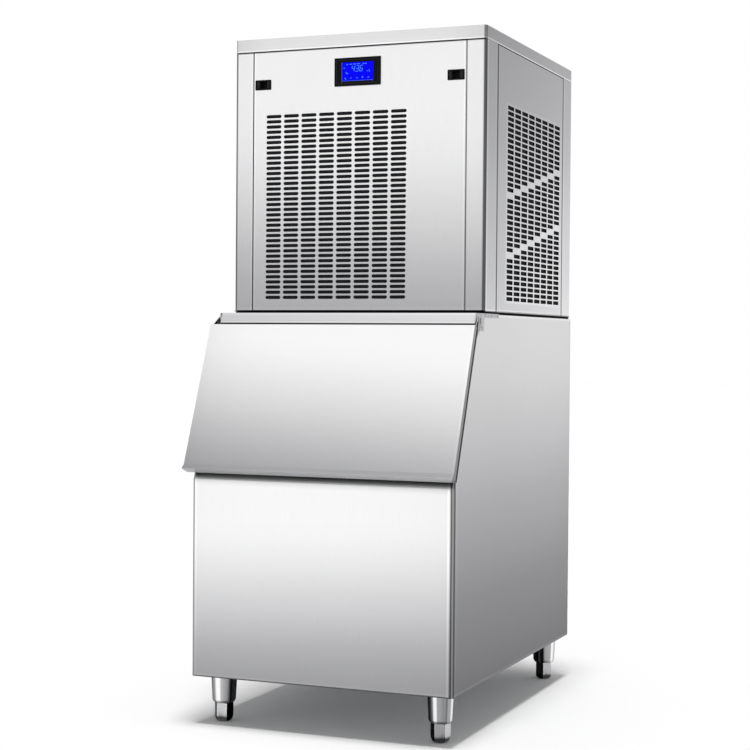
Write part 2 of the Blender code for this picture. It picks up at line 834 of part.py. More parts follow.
def make_ice_maker():
    """The gear motor, the freezing barrel with its auger, the pressing head and the ice chute."""
    gear_top = head_floor + gear_height
    gearbox = block("gear_motor", "cast_alloy", (auger_x - gear_half, auger_x + gear_half),
                    (auger_y - gear_half, auger_y + gear_half), (head_floor, gear_top), edge=cast_edge)
    boss_top = barrel_low - gap
    boss = rod("gear_boss_joiner", None, (auger_x, auger_y, boss_top - gear_boss), "Z", 0.83 * gear_half,
               2 * gear_boss, 12)
    combine(gearbox, boss, "UNION")
    can_y = auger_y - gear_half + gear_can_lap - gear_can_length / 2
    can = rod("gear_can_joiner", None, (auger_x, can_y, head_floor + gear_height / 2), "Y", gear_can_radius,
              gear_can_length, 12)
    combine(gearbox, can, "UNION")
    socket = rod("gear_socket_cutter", None, (auger_x, auger_y, barrel_low), "Z", press_bore,
                 6 * gear_boss, 12)
    combine(gearbox, socket, "DIFFERENCE")

    top = barrel_height
    flange = barrel_radius + barrel_flange
    lip = barrel_flange
    profile = [(flange, top), (flange, top - lip), (barrel_radius, top - lip), (barrel_radius, lip),
               (flange, lip),
               (flange, 0), (barrel_bore, 0), (barrel_bore, top)]
    turned("evaporator_barrel", "foam", profile, (auger_x, auger_y, barrel_low), steps=12, closed=True)

    high = press_height
    profile = [(flange, lip), (flange, 0), (press_bore, 0), (press_bore, high), (press_radius, high),
               (press_radius, lip)]
    head = turned("extruding_head", "cast_alloy", profile, (auger_x, auger_y, press_low), steps=12,
                  closed=True)
    for port in range(press_ports):
        angle = 2 * pi * port / press_ports
        reach = (press_bore + press_radius) / 2
        place = (auger_x + reach * cos(angle), auger_y + reach * sin(angle), press_low + high / 2)
        combine(head, rod(f"ice_port_cutter_{port}", None, place, "Z", port_radius, 1.4 * high, 6),
                "DIFFERENCE")

    spin = pivot("auger_axis", (auger_x, auger_y, barrel_low))
    low = barrel_low - 2 * gear_boss
    high = press_low + 0.95 * press_height
    shaft = rod("auger", "polished_stainless", (auger_x, auger_y, (low + high) / 2), "Z",
                auger_shaft, high - low, 12,
                parent=spin)
    flight = add("auger_flight_joiner", flight_mesh(), None, spin.location, parent=spin)
    combine(shaft, flight, "UNION")
    make_chute()


def flight_mesh():
    """The auger's screw thread: a small rectangle swept up a helix and closed at both ends."""
    bm = bmesh.new()
    low = (barrel_height - auger_turns * auger_pitch) / 2
    root = auger_shaft - flight_edge
    corners = [(root, low), (auger_radius, low + (flight_root - flight_edge) / 2),
               (auger_radius, low + (flight_root + flight_edge) / 2), (root, low + flight_root)]
    points = [bm.verts.new((radius, 0, height)) for radius, height in corners]
    edges = [bm.edges.new((points[place - 1], points[place])) for place in range(4)]
    bmesh.ops.spin(bm, geom=points + edges, cent=(0, 0, 0), axis=(0, 0, 1), angle=2 * pi * auger_turns,
                   steps=auger_steps * auger_turns, dvec=(0, 0, auger_pitch / auger_steps),
                   use_duplicate=False)
    bmesh.ops.holes_fill(bm, edges=[edge for edge in bm.edges if edge.is_boundary])
    bmesh.ops.recalc_face_normals(bm, faces=bm.faces)
    return bm


def make_chute():
    """A moulded duct: a hood over the pressing head, a slope back, and a drop through the base."""
    mouth_z = press_low + barrel_flange + gap
    x = auger_x - chute_width / 2
    front = auger_y - chute_front
    back = drop_rear + chute_wall
    near_drop = drop_front - chute_wall
    outline = [(x, front, mouth_z), (x, front, mouth_z + hood_height),
               (x, auger_y + 0.6 * chute_front, mouth_z + hood_height),
               (x, back, mouth_z - 0.12 * hood_height), (x, back, head_floor), (x, near_drop, head_floor),
               (x, near_drop, mouth_z - 0.65 * hood_height), (x, auger_y + chute_front, mouth_z)]
    bm = bmesh.new()
    near = [bm.verts.new(point) for point in outline]
    far = [bm.verts.new((x + chute_width, y, z)) for _, y, z in outline]
    bm.faces.new(near)
    bm.faces.new(far)
    for place in (0, 1, 2, 3, 5, 6):
        bm.faces.new((near[place], near[place + 1], far[place + 1], far[place]))
    bmesh.ops.recalc_face_normals(bm, faces=bm.faces)
    solidify(add("ice_chute", bm, "white_plastic"), chute_wall)


def make_water_side():
    """The reservoir with its float, the fittings through the rear, and the pipes."""
    x = (reservoir_left, reservoir_right)
    y = (reservoir_front, reservoir_front + reservoir_depth)
    wall = reservoir_wall
    tank = block("reservoir", "white_plastic", x, y, (reservoir_low, reservoir_low + reservoir_height),
                 edge=moulded_edge)
    hollow = block("reservoir_cutter", None, (x[0] + wall, x[1] - wall), (y[0] + wall, y[1] - wall),
                   (reservoir_low + wall, reservoir_low + 2 * reservoir_height))
    combine(tank, hollow, "DIFFERENCE")
    stand_y = y[1] + gap
    stand_left = reservoir_right - stand_width
    strip("reservoir_stand", "galvanised_sheet",
          [(stand_left, stand_y + stand_foot, head_floor), (stand_left, stand_y, head_floor),
           (stand_left, stand_y, reservoir_low + reservoir_height - float_drop)],
          (stand_width, 0, 0), sheet)

    axis = (reservoir_left + 0.54 * reservoir_width, (y[0] + y[1]) / 2,
            reservoir_low + reservoir_height - float_drop)
    half = float_half
    tilt = pivot("float_axis", axis)
    arm = block("float_arm", "grey_plastic", (axis[0] - float_length, axis[0] + half),
                (axis[1] - half, axis[1] + half), (axis[2] - half, axis[2] + half), parent=tilt)
    bulb = block("float_bulb_joiner", None, (axis[0] - 1.29 * float_length, axis[0] - 0.67 * float_length),
                 (axis[1] - 4 * half, axis[1] + 4 * half),
                 (axis[2] - 5.5 * half, axis[2] + 1.5 * half), parent=tilt)
    combine(arm, bulb, "UNION")
    pin = rod("float_pin_joiner", None, axis, "Y", float_pin, reservoir_depth - 2 * wall - 2 * gap,
              8, parent=tilt)
    combine(arm, pin, "UNION")

    seat = -sheet - gap
    turned("water_inlet", "polished_stainless",
           [(inlet_radius, rear_reach), (inlet_radius, seat), (inlet_flange, seat),
            (inlet_flange, seat - inlet_seat), (inlet_bore, seat - inlet_seat), (inlet_bore, rear_reach)],
           (inlet_x, bin_rear, service_z), "Y", steps=12, closed=True)
    turned("cable_gland", "black_plastic",
           [(0, 1.6 * gland_radius), (0.7 * gland_radius, 1.5 * gland_radius),
            (0.9 * gland_radius, 1.1 * gland_radius), (gland_flange, gland_radius), (gland_flange, gap),
            (gland_radius, gap), (gland_radius, -gland_radius), (0, -gland_radius)],
           (gland_x, bin_rear, service_z), "Y", steps=10)


def make_bin_shell():
    """The bin's outer panels, its curb, and the strip of foam under the head."""
    front = bin_front + sheet + gap
    rear = bin_rear - sheet - gap
    for side_name, sx in (("left", -1), ("right", 1)):
        outline = [(sx * bin_half, *point)
                   for point in bin_outline(front, rear, bin_low, bin_top, throat_depth)]
        pan("bin_side_" + side_name, "brushed_stainless", outline, (-sx * fold, 0, 0), sheet,
            folded=(0, 1, 2, 3))

    lip_depth = throat_depth - gap - sheet
    corner = throat_z(lip_depth, bin_front)
    down = (lid_top_z - lip_depth * sin(lid_slope) - corner) / cos(lid_slope)
    lip_end = on_lid(down - front_lip, lip_depth)
    half = bin_half - panel_edge
    path = [(-half, bin_front, bin_low), (-half, bin_front, corner), (-half, *lip_end)]
    strip("bin_front", "brushed_stainless", path, (2 * half, 0, 0), sheet)

    back = block("bin_back", "brushed_stainless", (-bin_half, bin_half), (bin_rear - sheet, bin_rear),
                 (bin_low, bin_top))
    drill(back, "back_drain", (0, bin_rear, drain_z), drain_radius, cut_length)

    inside = sheet + gap
    x = bin_half - inside
    y0 = front + inside
    y1 = rear - inside
    pan("bin_floor", "galvanised_sheet",
        [(-x, y0, bin_low), (-x, y1, bin_low), (x, y1, bin_low), (x, y0, bin_low)],
        (0, 0, floor_fold), sheet)

    curb_half = bin_half - flush
    top_z = bin_top + gap + sheet
    top = (throat_y(curb_depth, top_z), top_z)
    path = [(-curb_half, curb_back, top[1]), (-curb_half, *top),
            (-curb_half, *on_lid(-curb_low, curb_depth)),
            (-curb_half, *on_lid(-curb_low, lip_depth)), (-curb_half, *on_lid(curb_leg, lip_depth))]
    strip("bin_curb", "brushed_stainless", path, (2 * curb_half, 0, 0), sheet)

    low = bin_top + gap
    outer_x = head_half - strip_inset
    inner_x = outer_x - strip_width
    ring = block("head_gasket", "black_rubber", (-outer_x, outer_x),
                 (head_front + strip_inset, bin_rear - strip_inset),
                 (low, head_low - gap))
    hole = block("gasket_hole_cutter", None, (-inner_x, inner_x),
                 (head_front + strip_inset + strip_width, bin_rear - strip_inset - strip_width),
                 (low - strip_height, head_low + strip_height))
    combine(ring, hole, "DIFFERENCE")
    relief = block("gasket_relief_cutter", None, (-bin_half, bin_half), (head_front, curb_back + gap),
                   (low - strip_height, top_z + gap))
    combine(ring, relief, "DIFFERENCE")


def make_bin_inside():
    """The foam body of the bin, its moulded liner and the drain."""
    half = bin_half - wall_foam - foam_room
    front = bin_front + wall_foam + foam_room + liner_wall
    rear = bin_rear - wall_foam - foam_room - sheet
    low = bin_low + wall_foam + foam_room
    top = bin_top - sheet - gap
    depth = throat_depth + gap
    wall = liner_wall
    end = front - liner_reach * sin(lid_slope)
    drop = liner_wall * sin(lid_slope)
    flange = [(end, throat_z(depth, end)), (throat_y(depth, top), top), (rear + liner_reach, top),
              (rear + liner_reach, top - wall), (throat_y(depth + wall, top - wall), top - wall),
              (end + wall * cos(lid_slope), throat_z(depth, end) - drop)]
    liner = bin_prism("bin_liner", "white_plastic", flange, half + liner_reach)
    tub = bin_outline(front - wall, rear + wall, low - wall, top - wall / 2, depth + wall / 2)
    combine(liner, bin_prism("liner_tub_joiner", None, tub, half + wall), "UNION")
    inside = bin_outline(front, rear, low, top + liner_reach, depth - liner_reach)
    combine(liner, bin_prism("liner_inside_cutter", None, inside, half), "DIFFERENCE")
    drill(liner, "liner_drain", (0, rear, drain_z), drain_radius, 2 * cut_length)

    inset = 3 * (sheet + gap) + gap
    foam_depth = depth + wall + gap
    foam_top = top - wall - gap
    body = bin_outline(bin_front + inset, bin_rear - inset, bin_low + sheet + gap, foam_top, foam_depth)
    foam = bin_prism("bin_insulation", "foam", body, bin_half - inset + sheet)
    skin = wall + gap
    hollow = bin_outline(front - skin, rear + skin, low - skin, foam_top + liner_reach,
                         foam_depth - liner_reach)
    combine(foam, bin_prism("foam_hollow_cutter", None, hollow, half + skin), "DIFFERENCE")
    drill(foam, "foam_drain", (0, bin_rear, drain_z), drain_radius, 3 * wall_foam)

    start = rear - drain_wall - bin_rear
    bore = drain_radius - drain_wall
    turned("bin_drain", "white_plastic",
           [(drain_radius, rear_reach), (drain_radius, start), (bore, start), (bore, rear_reach)],
           (0, bin_rear, drain_z), "Y", steps=12, closed=True)


def make_lid():
    """The slanted lid: a folded outer shell, an insulated inner panel and a gasket."""
    swing = pivot("lid_axis", (0, *on_lid(pivot_down, pivot_depth)), (-lid_slope, 0, 0))

    def place(x, down, depth):
        return Vector((x, depth - pivot_depth, pivot_down - down))

    bm = bmesh.new()
    profile = [(0, lid_flange), (0, 0), (lid_length - lid_lip_length, 0), (lid_length, -lid_lip),
               (lid_length, lid_flange)]
    rows = []
    for sx in (-1, 1):
        rows.append([bm.verts.new(place(sx * lid_half_width, *point)) for point in profile])
    left, right = rows
    for first in range(len(profile) - 1):
        bm.faces.new((left[first], left[first + 1], right[first + 1], right[first]))
    bm.faces.new(left)
    bm.faces.new(right)
    face_along(bm, place(0, lid_length / 2, 0), (0, -1, 0))
    shell = add("lid_shell", bm, "brushed_stainless", swing.location, parent=swing)
    solidify(shell, sheet)
    ear = [(ear_foot, lid_flange - ear_lap)]
    ear += [(pivot_down + ear_radius * cos(angle), pivot_depth + ear_radius * sin(angle))
            for angle in [radians(60 + 45 * step) for step in range(5)]]
    ear += [(ear_lap, ear_lap / 2)]
    for sx in (-1, 1):
        outside = sx * (lid_half_width - sheet + flush)
        plate = prism("lid_ear_joiner_left" if sx < 0 else "lid_ear_joiner_right", None,
                      [place(outside, *point) for point in ear], (-sx * ear_thickness, 0, 0),
                      swing, swing.location)
        combine(shell, plate, "UNION")
    hole = rod("lid_ear_cutter", None, swing.location, "X", pin_radius + pin_clearance,
               2.2 * lid_half_width, 12,
               parent=swing)
    combine(shell, hole, "DIFFERENCE")

    def lid_block(name, finish_name, half, down, depth, edge=0.0):
        middle = place(0, (down[0] + down[1]) / 2, (depth[0] + depth[1]) / 2)
        size = (2 * half, depth[1] - depth[0], down[1] - down[0])
        bm = bmesh.new()
        bmesh.ops.create_cube(bm, size=1, matrix=Matrix.Translation(middle) @ Matrix.Diagonal((*size, 1)))
        thing = add(name, bm, finish_name, swing.location, parent=swing)
        if edge:
            bevel(thing, edge)
        return thing

    inner_half = bin_half - lid_inner_inset
    lid_block("lid_inner", "white_plastic", inner_half, (lid_inner_start, lid_length - lid_inner_end),
              (sheet + gap, lid_inner_depth), lid_edge)
    half = inner_half - lid_gasket_inset
    start = lid_inner_start + lid_inner_end
    end = lid_length - lid_gasket_end
    gasket = lid_block("lid_gasket", "black_rubber", half, (start, end),
                       (lid_inner_depth + gap, throat_depth - sheet - 2 * gap))
    hole = lid_block("lid_gasket_cutter", None, half - gasket_width,
                     (start + gasket_width, end - gasket_width),
                     (lid_inner_depth - gasket_width, throat_depth + gasket_width))
    combine(gasket, hole, "DIFFERENCE")


def make_hinges():
    """A bracket on each side of the bin, with a riveted stud that the lid's ear turns on."""
    y, z = on_lid(pivot_down, pivot_depth)
    top = head_low - bracket_top_gap
    for side_name, sx in (("left", -1), ("right", 1)):
        x = sx * (bin_half + gap)
        front = y - bracket_front
        low = z - bracket_drop
        back = y + bracket_body
        outline = [(x, front, low), (x, back, low), (x, back + strap_height / 2, top - strap_height),
                   (x, y + bracket_strap, top - strap_height), (x, y + bracket_strap, top), (x, front, top)]
        bracket = prism("hinge_bracket_" + side_name, "polished_stainless", outline,
                        (sx * bracket_thickness, 0, 0))
        ear_end = lid_half_width - sheet - bin_half + flush
        collar = ear_end - ear_thickness - 2 * gap
        profile = [(0, ear_end + sheet), (0.8 * stud_head, ear_end + 0.8 * sheet), (stud_head, ear_end),
                   (pin_radius, ear_end), (pin_radius, collar), (stud_collar, collar),
                   (stud_collar, 0.8 * sheet), (0, 0.8 * sheet)]
        stud = turned("hinge_stud_joiner_" + side_name, None, profile, (x, y, z),
                      "X" if sx > 0 else "-X", steps=8)
        combine(bracket, stud, "UNION")


def make_legs():
    """Four tapered legs under the bin, each with a foot that screws down."""
    places = (("front_left", -1, bin_front + leg_front), ("front_right", 1, bin_front + leg_front),
              ("rear_left", -1, bin_rear - leg_rear), ("rear_right", 1, bin_rear - leg_rear))
    top = bin_low - gap
    low = foot_height
    stem_top = low + foot_stem
    socket = foot_stem_radius + stem_clearance
    for name, sx, y in places:
        x = sx * (bin_half - leg_inset)
        profile = [(0, top), (leg_top_radius, top), (leg_top_radius, top - leg_collar),
                   (leg_low_radius, low + leg_chamfer), (foot_radius, low), (socket, low),
                   (socket, stem_top + 2 * gap), (0, stem_top + 2 * gap)]
        turned("leg_" + name, "polished_stainless", profile, (x, y, 0), steps=12)
        screw = pivot("foot_axis_" + name, (x, y, 0))
        profile = [(0, stem_top), (foot_stem_radius, stem_top), (foot_stem_radius, low - gap),
                   (foot_radius, low - gap), (foot_radius, 1.6 * foot_edge),
                   (foot_radius - foot_edge, 0), (0, 0)]
        foot = turned("foot_" + name, "polished_stainless", profile, (x, y, 0), steps=12, parent=screw)
        for side in (-1, 1):
            flat = block(f"foot_flat_cutter_{name}_{side}", None,
                         sorted((x + side * foot_flat, x + side * 2 * foot_radius)),
                         (y - 2 * foot_radius, y + 2 * foot_radius), (0.38 * low, 0.81 * low), parent=screw)
            combine(foot, flat, "DIFFERENCE")


def make_pipes():
    """The refrigerant lines, the drier, the water line and the control box."""
    shell_top = head_floor + compressor_height + gap
    drier_low = head_low + drier_up
    length = drier_length
    thin = 0.22 * drier_radius
    turned("filter_drier", "copper_tube",
           [(0, length), (thin, 0.985 * length), (drier_radius, 0.85 * length),
            (drier_radius, 0.15 * length),
            (thin, 0.015 * length), (0, 0)],
           (drier_x, drier_y, drier_low), steps=12)

    high = condenser_high - 0.24 * condenser_height
    start = condenser_right + gap
    pipe("discharge_line", "copper_tube",
         [(compressor_x, compressor_y, shell_top), (compressor_x, compressor_y, high),
          (pipe_x, compressor_y, high), (pipe_x, pipe_y, high), (start, pipe_y, high)],
         discharge_radius, pipe_bend)
    low = drier_low - drier_length * 0.46
    pipe("liquid_line", "copper_tube",
         [(start, pipe_y, low), (pipe_x, pipe_y, low), (pipe_x, drier_y, low), (drier_x, drier_y, low),
          (drier_x, drier_y, drier_low - gap)],
         liquid_radius, pipe_bend)
    right = head_half - box_inset
    rear = bin_rear - box_back
    block("control_box", "grey_plastic", (right - box_width, right), (rear - box_depth, rear),
          (head_floor, head_floor + box_height), edge=moulded_edge)
    high = press_low - 0.24 * barrel_height
    low = head_floor + 0.41 * compressor_height
    pipe("suction_line", "copper_tube",
         [(auger_x - barrel_radius - gap, auger_y, high), (suction_x, auger_y, high),
          (suction_x, compressor_y, high), (suction_x, compressor_y, low),
          (compressor_x + compressor_radius + gap, compressor_y, low)],
         suction_radius, suction_bend)


clear_scene()
make_finishes()
make_head_shell()
make_controls()
make_cooling_set()
make_ice_maker()
make_water_side()
make_pipes()
make_bin_shell()
make_bin_inside()
make_lid()
make_hinges()
make_legs()
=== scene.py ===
# %% [markdown]
# # A granular ice machine, dressed over its CAD model
#
# The machine is two stacked steel boxes: a head that makes the ice and an insulated bin that
# keeps it. The CAD model gives every solid its place and size. This file gives the solids their
# finishes and swaps a few of them for finer pieces. All lengths are in metres, +Z is up, and the
# front faces -Y.

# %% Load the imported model
import json
from math import cos, pi, radians, sin

import bmesh
import bpy
from mathutils import Matrix, Vector


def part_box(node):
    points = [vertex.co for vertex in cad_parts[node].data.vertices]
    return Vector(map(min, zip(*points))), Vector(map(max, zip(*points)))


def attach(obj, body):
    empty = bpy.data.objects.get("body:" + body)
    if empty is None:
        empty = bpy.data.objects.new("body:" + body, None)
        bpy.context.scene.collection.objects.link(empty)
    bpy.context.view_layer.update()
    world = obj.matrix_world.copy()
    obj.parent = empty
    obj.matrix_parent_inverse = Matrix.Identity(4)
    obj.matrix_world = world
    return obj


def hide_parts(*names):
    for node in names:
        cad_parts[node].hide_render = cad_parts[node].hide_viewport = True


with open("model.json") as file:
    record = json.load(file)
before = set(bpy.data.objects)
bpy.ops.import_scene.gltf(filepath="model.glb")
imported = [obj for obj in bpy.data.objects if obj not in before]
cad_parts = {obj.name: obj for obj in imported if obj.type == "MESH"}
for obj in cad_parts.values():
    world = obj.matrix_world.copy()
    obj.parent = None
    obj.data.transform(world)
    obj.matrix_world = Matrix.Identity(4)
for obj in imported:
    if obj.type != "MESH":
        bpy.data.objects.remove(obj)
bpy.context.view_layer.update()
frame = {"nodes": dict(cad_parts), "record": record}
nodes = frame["nodes"]

# %% [markdown]
# ## Camera
#
# The photograph was taken from the front right, at about the height of the lid. A lens of 82 mm
# on a 36 mm sensor gives the same mild perspective. The turn, the tilt and the small roll were
# solved from the corners of the machine, so no lens shift is needed. The same matrix could be
# made by pointing the camera at an empty, but then the roll would be lost.

# %% Camera at the photograph's angle
photo_pixels = 750
focal_pixels = 1714.14
camera_turn = radians(22.1473)
camera_tilt = radians(-1.0678)
camera_roll = radians(-0.446)
camera_place = Vector((1.3653, -3.4644, 0.775))

lens = bpy.data.cameras.new("photo_camera")
lens.sensor_width = 36.0
lens.lens = focal_pixels / photo_pixels * lens.sensor_width
turned = Matrix.Rotation(camera_turn, 3, "Z") @ Matrix.Rotation(camera_tilt, 3, "X")
turned = turned @ Matrix.Rotation(camera_roll, 3, "Y") @ Matrix.Rotation(pi / 2, 3, "X")
camera = bpy.data.objects.new("photo_camera", lens)
camera.matrix_world = Matrix.Translation(camera_place) @ turned.to_4x4()
bpy.context.scene.collection.objects.link(camera)
bpy.context.scene.camera = camera
bpy.context.scene.view_settings.view_transform = "Standard"
print("lens", round(lens.lens, 2), "mm, camera at", tuple(camera_place))

# %% [markdown]
# ## Colours and shader nodes
#
# Colours are written as the sRGB hex values that a designer would pick, and one function turns
# them to the linear values that the shaders work in. One more function adds a shader node with
# its settings and links, so that a material reads from top to bottom.

# %% Helpers for colours and shader nodes
def linear(hex_colour):
    """The linear RGBA of an sRGB hex colour such as #c8c8ca."""
    channels = [int(hex_colour[place:place + 2], 16) / 255 for place in (1, 3, 5)]
    channels = [c / 12.92 if c <= 0.04045 else ((c + 0.055) / 1.055) ** 2.4 for c in channels]
    return (*channels, 1.0)


def add_node(tree, kind, settings=None, **links):
    """Add a shader node, set its properties, and fill its sockets with values or outputs."""
    node = tree.nodes.new(kind)
    for key, value in (settings or {}).items():
        setattr(node, key, value)
    for name, value in links.items():
        socket = node.inputs[int(name[1:])] if name[1:].isdigit() else node.inputs[name.replace("_", " ")]
        if isinstance(value, bpy.types.NodeSocket):
            tree.links.new(value, socket)
        else:
            socket.default_value = value
    return node


def new_material(name, colour, roughness, metallic=0.0, **sockets):
    """A Principled material with its constant values on the shader's own sockets."""
    material = bpy.data.materials.new(name)
    material.use_nodes = True
    shader = material.node_tree.nodes["Principled BSDF"]
    shader.inputs["Base Color"].default_value = linear(colour)
    shader.inputs["Roughness"].default_value = roughness
    shader.inputs["Metallic"].default_value = metallic
    for socket, value in sockets.items():
        shader.inputs[socket.replace("_", " ")].default_value = value
    return material, material.node_tree, shader


print("white is", linear("#ffffff"))

# %% [markdown]
# ## Studio
#
# The photograph has a pure white background with a footprint-shaped shadow under the machine. The
# world is plain white where the camera and the steel see it, and dimmer as a light. A soft light
# almost overhead gives the shadow its shape. It stands a little to the front and the right, so the
# shadow reaches a little further to the back and the left, as the photograph's does. A sun with a
# soft edge lights a floor of any size evenly, as an area lamp can't. The steel doesn't mirror the
# light itself, or each fold would burn out. The floor is nearly white paint, lifted the last step
# to white for the camera only, so it still holds the shadow.

# %% White world
def see_through_share(tree):
    """One where a ray comes from the camera, a mirror or glass, and zero for plain light."""
    path = add_node(tree, "ShaderNodeLightPath")
    glossy = add_node(tree, "ShaderNodeMath", {"operation": "MAXIMUM"},
                      _0=path.outputs["Is Camera Ray"], _1=path.outputs["Is Glossy Ray"])
    both = add_node(tree, "ShaderNodeMath", {"operation": "MAXIMUM"},
                    _0=glossy.outputs[0], _1=path.outputs["Is Transmission Ray"])
    return both.outputs[0]


world_light = 0.36
world = bpy.data.worlds.new("white_studio")
world.use_nodes = True
bpy.context.scene.world = world
sky_tree = world.node_tree
sky = sky_tree.nodes["Background"]
sky.inputs["Color"].default_value = linear("#ffffff")
strength = add_node(sky_tree, "ShaderNodeMapRange", None, Value=see_through_share(sky_tree),
                    To_Min=world_light, To_Max=1.0)
sky_tree.links.new(strength.outputs[0], sky.inputs["Strength"])
print("world at", world_light, "as a light, and white where it is seen")

# %% Lamp and floor
lamp_angle = 11
lamp_power = 2.20
lamp_leans = (radians(5), radians(2), 0)
lamp = bpy.data.lights.new("overhead_softbox", "SUN")
lamp.angle = radians(lamp_angle)
lamp.energy = lamp_power
overhead = bpy.data.objects.new("overhead_softbox", lamp)
overhead.rotation_euler = lamp_leans
overhead.visible_glossy = False
bpy.context.scene.collection.objects.link(overhead)

floor_reach = 30.0
# The floor lies half a millimetre under the feet, because two surfaces in one plane would flicker.
floor_drop = 0.0005
floor_mesh = bpy.data.meshes.new("studio_floor")
bm = bmesh.new()
bmesh.ops.create_grid(bm, x_segments=1, y_segments=1, size=floor_reach)
bm.to_mesh(floor_mesh)
bm.free()
floor = bpy.data.objects.new("studio_floor", floor_mesh)
floor.location.z = -floor_drop
bpy.context.scene.collection.objects.link(floor)
paint, paint_tree, paint_shader = new_material("white_floor_paint", "#f4f4f4", 0.9, Specular_IOR_Level=0.0)
lift = add_node(paint_tree, "ShaderNodeMapRange", None, Value=see_through_share(paint_tree),
                To_Min=0.0, To_Max=0.05)
paint_shader.inputs["Emission Color"].default_value = linear("#ffffff")
paint_tree.links.new(lift.outputs[0], paint_shader.inputs["Emission Strength"])
floor_mesh.materials.append(paint)
print("floor", 2 * floor_reach, "m wide, soft light", lamp_angle, "degrees across")

# %% [markdown]
# ## Brushed stainless steel
#
# The panels are 304 stainless sheet with a fine brushed finish. Up close it is thousands of
# scratches that run one way. They spread a reflection along one direction, so a panel shows no
# mirror picture. The scratches are a noise that is stretched along the brushing. A flat panel
# mirrors one even part of the room, so lamps alone would leave each panel one flat grey, as the
# photograph does not. So the slow ramp from pale to grey on each panel is painted reflection and
# shade in its base colour. It is laid along the panel's own height, in the piece's own
# coordinates, so it travels with the lid.
#
# Where a sheet is folded, the brushed surface turns away within a millimetre or two. That shows
# as a thin dark line with a bright one beside it, drawn here as painted shade and a painted
# highlight. A second set of factors draws those lines across the front faces and along the side
# faces. Rows by height add the painted level lines of the front faces, and one more set holds the
# painted lines that lean with the slanted lid.

# %% Ramps by place
def ramp_by(tree, value, stops):
    """A colour ramp over a value, with stops of (place in metres, hex colour or factor)."""
    low, high = stops[0][0], stops[-1][0]
    share = add_node(tree, "ShaderNodeMapRange", None, Value=value, From_Min=low, From_Max=high)
    ramp = add_node(tree, "ShaderNodeValToRGB", None, Fac=share.outputs[0])
    elements = ramp.color_ramp.elements
    while len(elements) < len(stops):
        elements.new(0.5)
    for element, (place, shade) in zip(elements, stops):
        element.position = (place - low) / (high - low)
        # A factor is stored as its half, because a ramp holds nothing above one.
        element.color = linear(shade) if isinstance(shade, str) else (shade / 2, shade / 2, shade / 2, 1)
    return ramp.outputs["Color"]


def layered(tree, greys, halves):
    """The greys times each factor in turn. A factor comes as its half, so each product is doubled."""
    for half in halves:
        product = add_node(tree, "ShaderNodeVectorMath", {"operation": "MULTIPLY"}, _0=greys, _1=half)
        greys = add_node(tree, "ShaderNodeVectorMath", {"operation": "SCALE"}, _0=product.outputs[0],
                         Scale=2.0).outputs[0]
    return greys


print("a ramp holds up to 32 stops")

# %% [markdown]
# ### From ramps to steel
#
# A real panel is one alloy all over, and only its folds and its place in the room change the
# grey. Here that grey is painted reflection, painted shade and painted highlights in the base
# colour. So one function makes the steel of every panel, and each panel hands in its own ramps.
# The front faces and the side faces of a piece are told apart by their normals. A picture painted
# on each panel would need unwrapped faces, and its lines would blur up close.

# %% Brushed stainless along one panel
# Brushing marks are about 0.1 mm wide. They are drawn 1.2 mm wide here, or they would not show.
scratch_width = 0.0012
scratch_length = 0.080
scratch_contrast = 0.018
steel_roughness = 0.30
# A grazing look at real steel stays grey, so the edge tint is below white.
steel_edge_tint = (0.6, 0.6, 0.6, 1.0)

lid_lean = radians(22)
# Factors are stored as halves, so this grey changes nothing.
no_change = (0.5, 0.5, 0.5, 1.0)


